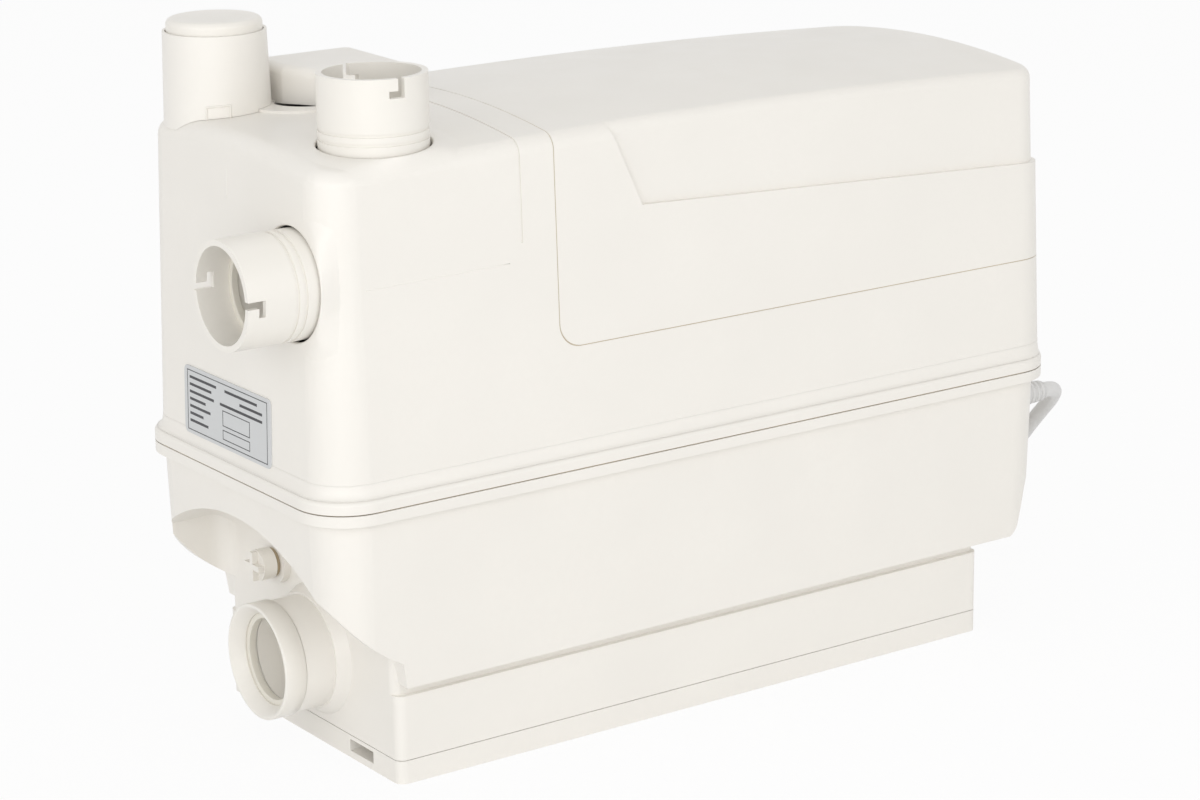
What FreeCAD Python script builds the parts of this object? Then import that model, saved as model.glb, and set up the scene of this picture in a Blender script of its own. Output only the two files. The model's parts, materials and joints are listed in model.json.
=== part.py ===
import FreeCAD, Part
import math
import os
import re
from types import SimpleNamespace

import Sketcher
from FreeCAD import Placement, Rotation, Vector

# A small grey water lifting unit: a tank with a plinth, an upper housing with a motor cover, three
# inlets, a vent column, a check valve and a pump with its motor, and a mains lead.
# Millimetres. Places in this file are measured from the flange's inlet end (x), from the long side
# that faces the viewer (y) and from the floor (z). Every piece is then moved so that the origin lies
# under the middle of the unit.

SIZES = {
    # Rim, where the tank and the upper housing meet
    "flange_length": 373,
    "flange_width": 156,
    "flange_corner": 22,
    "flange_overhang": 4,
    "rim_level": 118,
    "lip_thickness": 4.5,
    "bead_thickness": 5,
    "gasket_thickness": 0.5,
    "gasket_width": 3.5,
    "wall": 2.5,
    "seat_gap": 0.3,
    # Tank and the foot that it stands on
    "tank_draft": 1.7,
    "tank_floor": 3,
    "plinth_start": 34,
    "plinth_length": "=flange_length - 72",
    "plinth_inset": 10,
    "plinth_top": 41.5,
    "plinth_shelf": 36.8,
    "plinth_recess": 2.5,
    "plinth_corner": 4,
    "skirt_thickness": 5,
    "arch_near_foot": 74,
    "arch_far_foot": 80,
    "arch_crown": 99.2,
    "arch_shift": 4,
    "arch_round": 9,
    "cutback_top": 83.7,
    "cutback_knee_x": 35,
    "cutback_knee_z": 52,
    "cutback_hollow": 2.3,
    "cutback_end_lean": 1.6,
    "end_step_top": 70,
    "end_step_low": 58,
    "end_step_depth": 11,
    "base_thickness": 10,
    "base_rim": 14,
    "base_slot_length": 18,
    "base_slot_height": 5,
    "base_slot_level": 3,
    "base_slot_centre": 39,
    "pad_recess": 3,
    "pad_margin": 1,
    "pad_place": 60,
    # Upper housing and motor cover
    "housing_inset": 3.5,
    "housing_draft": 1.8,
    "lead_end_inset": 0.8,
    "housing_top": 259.3,
    "crown_radius": 450,
    "crown_length_radius": 3400,
    "crown_y": "=flange_width / 2 + 6",
    "top_round": 7,
    "cover_start": 111,
    "cover_foot": 167,
    "cover_corner": 10,
    "cover_seam": 0.4,
    "cover_lap": 6,
    "lap_thickness": 2,
    "step_depth": 2,
    "step_level": 208.3,
    "step_corner_x": 152.5,
    "step_corner_z": 219,
    "step_top_x": 134.5,
    "groove_line_x": 94.5,
    "groove_line_foot": 212,
    "groove_line_depth": 0.4,
    # Top and side inlets, two equal bayonet sockets on one tee
    "inlet_x": 45,
    "inlet_y": 32,
    "side_inlet_level": "=top_inlet_rim - 77.5",
    "side_reach": 24,
    "top_inlet_rim": 281.5,
    "socket_radius": 21.5,
    "socket_bore": 19,
    "socket_depth": 38,
    "neck_length": 13,
    "neck_radius": 17.1,
    "neck_bore": 15,
    "socket_gap": 1.2,
    "bayonet_width": 2.8,
    "bayonet_depth": 7.5,
    "groove_depth": 0.5,
    "groove_width": 1.2,
    "groove_place": 22,
    "tee_radius": 19.6,
    "tee_bore": 17.4,
    "lip_seal_depth": 14,
    "lip_seal_thickness": 3,
    "lip_seal_bore": 16.8,
    "seal_seat_radius": 19.9,
    "socket_throat": 17.6,
    # Low inlet with its back-flow flap
    "low_inlet_y": 72,
    "low_inlet_level": 40,
    "low_inlet_face": 6,
    "low_collar_length": 10,
    "low_radius": 23.2,
    "low_collar_radius": 24,
    "low_bore": 19,
    "low_throat": 17.4,
    "low_seal_depth": 6,
    "low_seat_radius": 20.8,
    "low_port": 16,
    "low_boss_radius": 28,
    "low_boss_depth": 5,
    "low_flap_radius": 18.5,
    "low_flap_thickness": 2.4,
    "flap_pin_radius": 1,
    "flap_pin_clearance": 0.05,
    "ear_thickness": 3,
    "ear_height": 6,
    "ear_spread": 11,
    # Drain plug
    "drain_y": 100,
    "drain_level": 70,
    "drain_radius": 6.6,
    "drain_stem": 4,
    "drain_hole": 4.3,
    "drain_head": 6,
    "drain_boss_radius": 9,
    "drain_boss_depth": 3,
    "drain_grip_height": 2.6,
    "drain_grip_width": 2.4,
    # Vent column
    "vent_x": 29.5,
    "vent_y": 127,
    "vent_pipe_radius": 15,
    "vent_pipe_bore": 12.8,
    "sleeve_foot_radius": 21.8,
    "sleeve_top_radius": 20.8,
    "sleeve_wall": 1.1,
    "sleeve_top": 287,
    "vent_cap_top": 292,
    "vent_cap_radius": 19.3,
    "vent_cap_depth": 15,
    "vent_cap_round": 2.5,
    "filter_radius": 14.5,
    "filter_height": 17,
    # Pump plate, with the motor above it and the pump below
    "plate_level": 107,
    "plate_thickness": 4,
    "plate_margin": 1,
    "ledge_width": 11,
    "ledge_thickness": 3,
    "plate_seal_thickness": 1.5,
    "plate_seal_width": 1.6,
    "plate_screw_inset": 15,
    "motor_x": "=flange_length - 138",
    "motor_y": 78,
    "motor_radius": 56,
    "motor_flange_radius": 64,
    "motor_screw_circle": 60,
    "motor_height": 104,
    "motor_wall": 3,
    "stator_height": 50,
    "stator_start": 26,
    "stator_bore": 27,
    "rotor_gap": 0.4,
    "winding_height": 15,
    "shaft_radius": 8,
    "shaft_top": 240,
    "shaft_foot": 66,
    "bearing_radius": 19,
    "bearing_height": 9,
    "end_cap_thickness": 4,
    "fan_radius": 44,
    "fan_height": 11,
    "fan_disc": 2,
    "seal_radius": 14,
    "volute_radius": 48,
    "volute_wall": 3,
    "volute_foot": 60,
    "volute_height": 43,
    "suction_eye": 16,
    "impeller_radius": 38,
    "impeller_height": 20,
    "impeller_disc": 3,
    "impeller_lift": 8,
    "blade_count": 6,
    "blade_thickness": 2.4,
    "outlet_y": 108,
    "outlet_level": 82,
    "outlet_radius": 12,
    "outlet_bore": 9.5,
    "outlet_end": "=motor_x - 65",
    "strainer_radius": 30,
    "strainer_windows": 8,
    "screw_radius": 2,
    "screw_clearance": 0.15,
    "screw_head": 3.8,
    "screw_length": 12,
    # Check valve and discharge
    "valve_x": 66,
    "valve_foot": "=valve_cover_top - 75",
    "valve_height": 50,
    "valve_radius": 18,
    "valve_bore": 15.5,
    "valve_flap_radius": 12.5,
    "valve_flap_thickness": 2,
    "valve_knuckle_length": 8,
    "valve_lid_thickness": 3,
    "port_level": "=valve_foot + 34",
    "port_radius": 14,
    "port_bore": 11.5,
    "port_root_radius": 13.4,
    "port_collar_radius": 17,
    "port_collar_depth": 6,
    "port_reach": 16,
    "valve_cover_top": 271,
    "valve_cover_round": 4,
    "valve_cover_left": 13,
    "valve_cover_right": 34,
    "valve_cover_back": 15,
    "valve_cover_front": 30,
    "valve_cover_depth": 12,
    "valve_cover_waist": 38,
    "valve_cover_cheek": 10,
    "valve_cover_nose": 8,
    "valve_cover_corner": 6,
    # Level switch, capacitor and control box
    "switch_x": "=motor_x - 100",
    "switch_y": 44,
    "switch_radius": 20,
    "switch_height": 24,
    "bell_radius": 12,
    "bell_foot": 46,
    "plunger_radius": 2.5,
    "plunger_travel": 1.5,
    "micro_length": 20,
    "micro_width": 9,
    "micro_height": 12,
    "micro_leg": 3,
    "capacitor_x": "=flange_length - 47",
    "capacitor_y": 122,
    "capacitor_radius": 15,
    "capacitor_height": 58,
    "control_x": "=flange_length - 57",
    "control_y": 40,
    "control_length": 40,
    "control_width": 58,
    "control_height": 76,
    "board_thickness": 1.6,
    "board_margin": 1,
    "board_headroom": 16,
    "relay_length": 14,
    "relay_width": 18,
    "relay_height": 16,
    "relay_place": 12,
    "relay_level": 20,
    "choke_radius": 9,
    "choke_length": 12,
    "choke_place": 38,
    "choke_level": 48,
    # Rating plate
    "label_length": 70,
    "label_height": 28,
    "label_thickness": 0.6,
    "label_y": 83,
    "label_level": 141,
    "label_corner": 2.5,
    # Mains lead, its gland, coil and plug
    "lead_radius": 3.5,
    "lead_y": 38,
    "lead_level": 94,
    "gland_radius": 7.5,
    "gland_reach": 8,
    "pocket_width": 28,
    "pocket_depth": 14,
    "pocket_drop": 22,
    "coil_radius": 46,
    "coil_pitch": 7.6,
    "coil_turns": 3,
    "plug_radius": 18.5,
    "plug_length": 36,
    "pin_radius": 2.4,
    "pin_length": 19,
    "pin_spacing": 19,
}

# Where the pump plate's screws stand, as shares of the flange's length
PLATE_SCREW_SHARES = (0.27, 0.48, 0.79)

doc = FreeCAD.newDocument("LiftingUnit")
sheet = doc.addObject("Spreadsheet::Sheet", "Dims")
for row, word in enumerate(SIZES, start=1):
    sheet.set(f"A{row}", word)
    sheet.setAlias(f"B{row}", word)
for row, number in enumerate(SIZES.values(), start=1):
    sheet.set(f"B{row}", str(number))
doc.recompute()
size = SimpleNamespace(**{word: float(sheet.get(word)) for word in SIZES})

# The origin lies under the middle of the unit without its lead.
MIDDLE_X = "(flange_length - side_reach) / 2"
MIDDLE_Y = "(flange_width + port_reach) / 2"
middle = Vector((size.flange_length - size.side_reach) / 2, (size.flange_width + size.port_reach) / 2, 0)

WORD = re.compile(r"[a-z][a-z_]*[a-z]")
TURNS = {
    "Z": Rotation(),
    "X": Rotation(Vector(0, 1, 0), 90),
    "-X": Rotation(Vector(0, 1, 0), -90),
    "Y": Rotation(Vector(1, 0, 0), -90),
    "-Z": Rotation(Vector(1, 0, 0), 180),
}
pieces = []


def formula(text):
    """Write the sheet's name before every size in a formula."""

    def with_sheet(found):
        word = found.group(0)
        return f"Dims.{word}" if word in SIZES else word

    return WORD.sub(with_sheet, text)


def bind(item, **formulas):
    """Tie properties of an item to sizes in the sheet."""
    for name, text in formulas.items():
        item.setExpression(name, formula(text))


def put(item, x, y, z, axis="Z"):
    """Place an item at a formula-driven point, its own Z turned to the named axis."""
    item.Placement = Placement(Vector(), TURNS[axis])
    item.setExpression("Placement.Base.x", formula(f"({x}) - {MIDDLE_X}"))
    item.setExpression("Placement.Base.y", formula(f"({y}) - {MIDDLE_Y}"))
    item.setExpression("Placement.Base.z", formula(z))
    return item


def piece(item, label):
    """Name an item as a finished sub-part."""
    item.Label = label
    pieces.append(item)
    return item


def cylinder(name, radius, height, x, y, z, axis="Z"):
    item = doc.addObject("Part::Cylinder", name)
    bind(item, Radius=radius, Height=height)
    return put(item, x, y, z, axis)


def cone(name, foot_radius, top_radius, height, x, y, z, axis="Z"):
    item = doc.addObject("Part::Cone", name)
    bind(item, Radius1=foot_radius, Radius2=top_radius, Height=height)
    return put(item, x, y, z, axis)


def block(name, length, width, height, x, y, z):
    item = doc.addObject("Part::Box", name)
    bind(item, Length=length, Width=width, Height=height)
    return put(item, x, y, z)


def join(name, *items):
    item = doc.addObject("Part::MultiFuse", name)
    item.Shapes = list(items)
    item.Refine = True
    return item


def cut(name, base, *tools):
    item = doc.addObject("Part::Cut", name)
    item.Base = base
    item.Tool = tools[0] if len(tools) == 1 else join(name + "_tools", *tools)
    item.Refine = True
    return item


def group(name, *items):
    item = doc.addObject("Part::Compound", name)
    item.Links = list(items)
    return item


def tube(name, radius, bore, height, x, y, z, axis="Z"):
    outside = cylinder(name + "_outside", radius, height, x, y, z, axis)
    inside = cylinder(name + "_inside", bore, height, x, y, z, axis)
    return cut(name, outside, inside)


def feature(name, shape):
    """A document object whose shape is built by the functions below, in unit coordinates."""
    item = doc.addObject("Part::Feature", name)
    item.Shape = shape
    item.Placement = Placement(-middle, Rotation())
    return item


def rounded_outline(left, right, front, back, corner, level):
    """A rectangle with round corners, as a flat wire."""
    lines = []
    bend = corner * math.sqrt(0.5)
    spots = [
        (right - corner, front + corner, 0, -1, 1, 0),
        (right - corner, back - corner, 1, 0, 0, 1),
        (left + corner, back - corner, 0, 1, -1, 0),
        (left + corner, front + corner, -1, 0, 0, -1),
    ]
    arcs = []
    for x, y, from_x, from_y, to_x, to_y in spots:
        start = Vector(x + from_x * corner, y + from_y * corner, level)
        middle_point = Vector(x + (from_x + to_x) * bend, y + (from_y + to_y) * bend, level)
        end = Vector(x + to_x * corner, y + to_y * corner, level)
        arcs.append((start, middle_point, end))
    for index, (start, middle_point, end) in enumerate(arcs):
        following = arcs[(index + 1) % len(arcs)][0]
        lines.append(Part.Arc(start, middle_point, end).toShape())
        lines.append(Part.LineSegment(end, following).toShape())
    return Part.Wire(lines)


def drafted_block(inset, corner, foot, top, draft, lead_inset=None):
    """A block on the rim's outline, inset all round, that narrows by the draft from foot to top."""
    if lead_inset is None:
        lead_inset = inset
    lean = math.tan(math.radians(draft)) * abs(top - foot)
    rings = []
    for level, shrink in ((foot, 0), (top, lean)):
        rings.append(
            rounded_outline(
                inset + shrink,
                size.flange_length - lead_inset - shrink,
                inset + shrink,
                size.flange_width - inset - shrink,
                corner - shrink,
                level,
            )
        )
    return Part.makeLoft(rings, True, True)


def prism(outline, direction):
    """Extrude a closed wire."""
    return Part.Face(outline).extrude(direction)


def ring_prism(outer, inner, foot, top):
    """A frame that follows the rim's outline between two insets."""
    shapes = []
    for inset in (outer, inner):
        outline = rounded_outline(
            inset,
            size.flange_length - inset,
            inset,
            size.flange_width - inset,
            size.flange_corner - inset,
            foot,
        )
        shapes.append(prism(outline, Vector(0, 0, top - foot)))
    return shapes[0].cut(shapes[1])


def side_profile(points, arc_middles=()):
    """A closed wire in the XZ plane; arc_middles maps a stretch's index to the arc's middle point."""
    bends = dict(arc_middles)
    stretches = []
    for index, start in enumerate(points):
        end = points[(index + 1) % len(points)]
        first = Vector(start[0], 0, start[1])
        last = Vector(end[0], 0, end[1])
        if index in bends:
            via = Vector(bends[index][0], 0, bends[index][1])
            stretches.append(Part.Arc(first, via, last).toShape())
        else:
            stretches.append(Part.LineSegment(first, last).toShape())
    return Part.Wire(stretches)


def through_width(wire):
    """Extrude an XZ outline over more than the unit's width."""
    spare = 20
    solid = prism(wire, Vector(0, size.flange_width + 2 * spare, 0))
    solid.translate(Vector(0, -spare, 0))
    return solid


def inlet_end_cut(inset):
    """What is missing at the tank's inlet end: a sloped cut under both skirts and an arched pocket."""
    spare = 30
    below = size.plinth_top - size.base_thickness
    knee_x = size.cutback_knee_x + inset
    knee_z = size.cutback_knee_z + inset
    start_z = size.cutback_top + inset
    slope = side_profile(
        [
            (-spare, start_z + spare * 0.9),
            (size.flange_overhang - 1 + inset, start_z),
            (knee_x, knee_z),
            (knee_x + size.cutback_end_lean, size.plinth_top),
            (knee_x + size.cutback_end_lean, below),
            (-spare, below),
        ],
        {1: (size.plinth_start * 0.49 + inset, (start_z + knee_z) / 2 - size.cutback_hollow)},
    )
    half_width = size.flange_width / 2 - size.flange_overhang - size.skirt_thickness - 3 + inset
    middle_y = size.flange_width / 2
    left = Vector(-spare, middle_y - half_width, size.arch_near_foot)
    right = Vector(-spare, middle_y + half_width, size.arch_far_foot)
    crown = Vector(-spare, middle_y + size.arch_shift, size.arch_crown + inset)
    low_left = Vector(-spare, middle_y - half_width, below)
    low_right = Vector(-spare, middle_y + half_width, below)
    arch = Part.Wire(
        [
            Part.Arc(left, crown, right).toShape(),
            Part.LineSegment(right, low_right).toShape(),
            Part.LineSegment(low_right, low_left).toShape(),
            Part.LineSegment(low_left, left).toShape(),
        ]
    )
    pocket = prism(arch, Vector(spare + size.plinth_start + inset, 0, 0))
    end_x = size.plinth_start + inset - 0.01
    edges = [edge for edge in pocket.Edges if edge.BoundBox.XMin > end_x and edge.BoundBox.ZMax > below + 1]
    pocket = pocket.makeFillet(size.arch_round + inset, edges)
    return through_width(slope).fuse(pocket)


def lead_end_cut(inset):
    """The step in the tank's other end, above the plinth."""
    spare = 30
    wall_x = size.flange_length - size.flange_overhang
    plinth_end = size.plinth_start + size.plinth_length
    below = size.plinth_top - size.base_thickness
    step_x = wall_x - size.end_step_depth - inset
    profile = side_profile(
        [
            (wall_x + spare, size.end_step_top + inset),
            (wall_x - 1 - inset, size.end_step_top + inset),
            (step_x, size.end_step_low + inset),
            (step_x - 3, size.plinth_top + 6 + inset),
            (plinth_end + 6 - inset, size.plinth_top + inset),
            (plinth_end - inset, below),
            (wall_x + spare, below),
        ],
        {
            1: (step_x + 2.2, size.end_step_top - 6.5 + inset),
            3: (step_x - 5, size.plinth_top + 2.2 + inset),
        },
    )
    return through_width(profile)


def plinth_block(inset, foot, top, recess=0):
    """A block on the plinth's outline; the recess sets back its two long sides alone."""
    outline = rounded_outline(
        size.plinth_start + inset,
        size.plinth_start + size.plinth_length - inset,
        size.plinth_inset + inset + recess,
        size.flange_width - size.plinth_inset - inset - recess,
        max(size.plinth_corner - inset, 1),
        foot,
    )
    return prism(outline, Vector(0, 0, top - foot))


def x_cylinder(radius, length, x, y, z):
    return Part.makeCylinder(radius, length, Vector(x, y, z), Vector(1, 0, 0))


def make_tank():
    """The tank: a drafted basin on a plinth, cut back at both ends, with the low inlet's barrel."""
    lip_top = size.rim_level - size.gasket_thickness / 2
    lip_foot = lip_top - size.lip_thickness
    corner = size.flange_corner - size.flange_overhang
    wall = size.wall
    plinth_reach = size.arch_near_foot - 17
    floor = size.base_thickness + size.tank_floor
    outside = drafted_block(size.flange_overhang, corner, lip_foot, size.plinth_top, size.tank_draft)
    outside = outside.cut(inlet_end_cut(0)).cut(lead_end_cut(0))
    outside = outside.fuse(plinth_block(0, size.base_thickness, size.plinth_shelf))
    outside = outside.fuse(plinth_block(0, size.base_thickness, plinth_reach, size.plinth_recess))
    inside = drafted_block(
        size.flange_overhang + wall,
        corner - wall,
        lip_foot,
        size.plinth_top + wall,
        size.tank_draft,
    )
    inside = inside.cut(inlet_end_cut(wall)).cut(lead_end_cut(wall))
    inside = inside.fuse(plinth_block(wall, floor, size.plinth_shelf - wall))
    inside = inside.fuse(plinth_block(wall, floor, plinth_reach, size.plinth_recess))
    tank = outside.cut(inside)
    lip = ring_prism(0, size.flange_overhang + wall, lip_foot, lip_top)
    tank = tank.fuse(lip)
    ledge_foot = size.plate_level - size.ledge_thickness
    ledge = ring_prism(
        size.flange_overhang + 1,
        size.flange_overhang + wall + size.ledge_width,
        ledge_foot,
        size.plate_level - size.seat_gap,
    )
    tank = tank.fuse(ledge)
    for radius, x, y in ledge_clearances():
        tank = tank.cut(Part.makeCylinder(radius, 30, Vector(x, y, ledge_foot - 1)))
    return fit_low_inlet(fit_drain(fit_lead_pocket(tank)))


def ledge_clearances():
    """Radius and place of each hole that the ledge needs, for the pipes and the plate's screws."""
    holes = [
        (size.tee_radius + size.seat_gap, size.inlet_x, size.inlet_y),
        (size.vent_pipe_radius + size.seat_gap, size.vent_x, size.vent_y),
    ]
    for share in PLATE_SCREW_SHARES:
        for y in (size.plate_screw_inset, size.flange_width - size.plate_screw_inset):
            holes.append((size.screw_radius + size.screw_clearance, share * size.flange_length, y))
    return holes


def fit_lead_pocket(tank):
    """A dry pocket inside the end wall, open to the plate above, where the mains lead comes in."""
    wall = size.wall
    wall_x = size.flange_length - size.flange_overhang
    floor = size.plate_level - size.pocket_drop
    width = size.pocket_width
    top = size.plate_level - size.seat_gap
    shell = Part.makeBox(
        size.pocket_depth + wall,
        width + 2 * wall,
        top - floor + wall,
        Vector(wall_x - size.pocket_depth - 2 * wall, size.lead_y - width / 2 - wall, floor - wall),
    )
    hollow = Part.makeBox(
        size.pocket_depth - wall - 1,
        width,
        top - floor + 1,
        Vector(wall_x - size.pocket_depth - wall, size.lead_y - width / 2, floor),
    )
    hole = x_cylinder(size.gland_radius - 1, 20, wall_x - 12, size.lead_y, size.lead_level)
    return tank.fuse(shell).cut(hollow).cut(hole)


def fit_drain(tank):
    """The boss and hole that take the drain plug."""
    boss_x = size.plinth_start - size.drain_boss_depth
    boss_length = size.drain_boss_depth + 1
    boss = x_cylinder(size.drain_boss_radius, boss_length, boss_x, size.drain_y, size.drain_level)
    hole = x_cylinder(size.drain_hole, 20, boss_x - 5, size.drain_y, size.drain_level)
    return tank.fuse(boss).cut(hole)


def fit_low_inlet(tank):
    """The low inlet's boss, barrel and port, with two ears for the flap's pin inside."""
    y = size.low_inlet_y
    z = size.low_inlet_level
    start = size.plinth_start
    barrel_x = size.low_inlet_face + size.low_collar_length
    boss = Part.makeCone(
        size.low_radius + 1,
        size.low_boss_radius,
        size.low_boss_depth + 1,
        Vector(start - size.low_boss_depth, y, z),
        Vector(1, 0, 0),
    )
    barrel = x_cylinder(size.low_radius, start - barrel_x + 1, barrel_x, y, z)
    bore = x_cylinder(size.low_throat, start - barrel_x, barrel_x, y, z)
    port = x_cylinder(size.low_port, size.wall + 2, start - 1, y, z)
    tank = tank.fuse(boss).fuse(barrel).cut(bore).cut(port)
    pin_x, pin_z = low_flap_pin_place()
    hole = Part.makeCylinder(size.flap_pin_radius, 60, Vector(pin_x, y - 30, pin_z), Vector(0, 1, 0))
    for side in (-1, 1):
        ear_y = y + side * size.ear_spread - size.ear_thickness / 2
        corner = Vector(start + 1, ear_y, pin_z - size.ear_height / 2)
        ear = Part.makeBox(pin_x + 1.5 - start, size.ear_thickness, size.ear_height, corner)
        tank = tank.fuse(ear)
    return tank.cut(hole)


def low_flap_pin_place():
    """Where the low flap's pin runs, just behind the wall and above the flap."""
    flap_x = size.plinth_start + size.wall + size.seat_gap
    pin_x = flap_x + size.low_flap_thickness / 2 + 1
    pin_z = size.low_inlet_level + size.low_flap_radius + 3
    return pin_x, pin_z


def housing_block(inset, crown_inset=None):
    """The upper housing's outer form with the cover on, inset evenly: drafted, crowned and rounded."""
    if crown_inset is None:
        crown_inset = inset
    foot = size.rim_level + size.gasket_thickness / 2
    spare = 20
    corner = size.flange_corner - size.housing_inset
    body = drafted_block(
        size.housing_inset + inset,
        corner - inset,
        foot,
        size.housing_top + spare,
        size.housing_draft,
        size.lead_end_inset + inset,
    )
    body = body.common(crown_form(crown_inset))
    edge_level = size.housing_top - 20
    edges = [edge for edge in body.Edges if edge.BoundBox.ZMin > edge_level]
    return body.makeFillet(size.top_round - inset, edges)


def crown_form(inset):
    """The form, gently domed both ways, that the housing's top is cut from."""
    middle_x = size.flange_length / 2
    radius = size.crown_radius - inset
    centre_z = size.housing_top - size.crown_radius
    reach = size.flange_width / 2 + 30
    edge_z = centre_z + math.sqrt(radius**2 - reach**2)
    near = Vector(middle_x, size.crown_y - reach, edge_z)
    top = Vector(middle_x, size.crown_y, centre_z + radius)
    far = Vector(middle_x, size.crown_y + reach, edge_z)
    low_far = Vector(middle_x, far.y, 0)
    low_near = Vector(middle_x, near.y, 0)
    outline = Part.Wire(
        [
            Part.Arc(near, top, far).toShape(),
            Part.LineSegment(far, low_far).toShape(),
            Part.LineSegment(low_far, low_near).toShape(),
            Part.LineSegment(low_near, near).toShape(),
        ]
    )
    face = Part.Face(outline)
    pivot = Vector(middle_x, 0, size.housing_top - size.crown_length_radius)
    across = Vector(0, 1, 0)
    sweep = 10
    face.rotate(pivot, across, -sweep / 2)
    return face.revolve(pivot, across, sweep)


def stepped_block(inset):
    """The housing's form with the shallow step in its sides, above the step's line."""
    spare = 40
    corner_x = size.step_corner_x - inset
    slope = (size.step_corner_x - size.step_top_x) / (size.housing_top - size.step_corner_z)
    top_x = corner_x - slope * (size.housing_top + spare - size.step_corner_z)
    fall = (size.step_corner_z - size.step_level) / (size.flange_length - size.step_corner_x)
    beyond = size.flange_length + spare
    region = through_width(
        side_profile(
            [
                (top_x, size.housing_top + spare),
                (corner_x, size.step_corner_z - inset),
                (beyond, size.step_level - fall * spare - inset),
                (beyond, size.housing_top + spare),
            ]
        )
    )
    form = housing_block(inset)
    narrow = housing_block(inset + size.step_depth, inset)
    return form.cut(region).fuse(narrow.common(region))


def cover_region(grow):
    """Where the motor cover lies: all beyond its seam and above its foot line."""
    left = size.cover_start - grow
    foot = size.cover_foot - grow
    corner = size.cover_corner
    beyond = size.flange_length + 30
    above = size.housing_top + 30
    bend = corner * (1 - math.sqrt(0.5))
    outline = side_profile(
        [(left, foot + corner), (left + corner, foot), (beyond, foot), (beyond, above), (left, above)],
        {0: (left + bend, foot + bend)},
    )
    return through_width(outline)


def make_shells():
    """The upper housing and the motor cover, cut from one form so that they run flush."""
    outside = stepped_block(0)
    inside = stepped_block(size.wall)
    seam = size.cover_seam / 2
    shell = outside.cut(inside)
    cover = shell.common(cover_region(-seam))
    housing = shell.cut(cover_region(seam))
    lap_inside = stepped_block(size.wall + size.lap_thickness)
    fixed_lap = inside.cut(lap_inside).common(cover_region(size.cover_lap).cut(cover_region(0)))
    clear_inside = stepped_block(size.wall + size.seat_gap)
    free_lap = clear_inside.cut(lap_inside).common(cover_region(0).cut(cover_region(-size.cover_lap)))
    housing = housing.fuse(fixed_lap).fuse(free_lap)
    foot = size.rim_level + size.gasket_thickness / 2
    bead = ring_prism(0, size.housing_inset + 1, foot, foot + size.bead_thickness)
    housing = housing.fuse(round_bead(bead, foot + size.bead_thickness))
    housing = housing.cut(side_groove())
    return outside, open_housing(housing), cover


def side_groove():
    """The shallow upright groove line in each long side, a little short of the cover's seam."""
    height = size.housing_top - size.groove_line_foot
    lines = Part.makeBox(
        size.groove_line_depth * 2,
        size.flange_width,
        height,
        Vector(size.groove_line_x, 0, size.groove_line_foot),
    )
    return lines.cut(housing_block(size.groove_line_depth))


def round_bead(bead, level):
    """Round the bead's outer top edge."""
    edges = []
    for edge in bead.Edges:
        box = edge.BoundBox
        on_top = box.ZMin > level - 0.01
        outermost = (
            box.XMin < 0.01 or box.YMin < 0.01
            or box.XMax > size.flange_length - 0.01 or box.YMax > size.flange_width - 0.01
        )
        if on_top and outermost:
            edges.append(edge)
    return bead.makeFillet(size.bead_thickness * 0.4, edges)


def open_housing(housing):
    """Cut the holes for the sockets, the vent pipe, the check valve and the discharge port."""
    hole_radius = size.socket_radius + size.socket_gap
    top_hole = Part.makeCylinder(hole_radius, 60, Vector(size.inlet_x, size.inlet_y, size.housing_top - 30))
    side_hole = x_cylinder(hole_radius, 40, -10, size.inlet_y, size.side_inlet_level)
    vent_hole = Part.makeCylinder(
        size.vent_pipe_radius + size.seat_gap, 60, Vector(size.vent_x, size.vent_y, size.housing_top - 30)
    )
    valve_hole = Part.makeCylinder(
        size.valve_radius + 1, 60, Vector(size.valve_x, size.outlet_y, size.housing_top - 20)
    )
    port_hole = Part.makeCylinder(
        size.port_root_radius + size.seat_gap,
        40,
        Vector(size.valve_x, size.flange_width - 25, size.port_level),
        Vector(0, 1, 0),
    )
    housing = housing.fuse(valve_land(0).cut(housing_block(size.wall)))
    for hole in (top_hole, side_hole, vent_hole, valve_hole, port_hole):
        housing = housing.cut(hole)
    return housing


def valve_land(inset):
    """The round land on the housing's top, a millimetre high, that the valve cover's nose stands on."""
    foot = size.housing_top - 10.5
    land = Part.makeCylinder(
        size.valve_radius + 5 - inset,
        size.housing_top + 5 - foot,
        Vector(size.valve_x - 6, size.outlet_y - 1, foot),
    )
    return land.common(housing_block(inset - 1))


def make_gasket():
    foot = size.rim_level - size.gasket_thickness / 2
    inset = size.flange_overhang - size.gasket_width
    return ring_prism(inset, size.flange_overhang, foot, foot + size.gasket_thickness)


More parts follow.
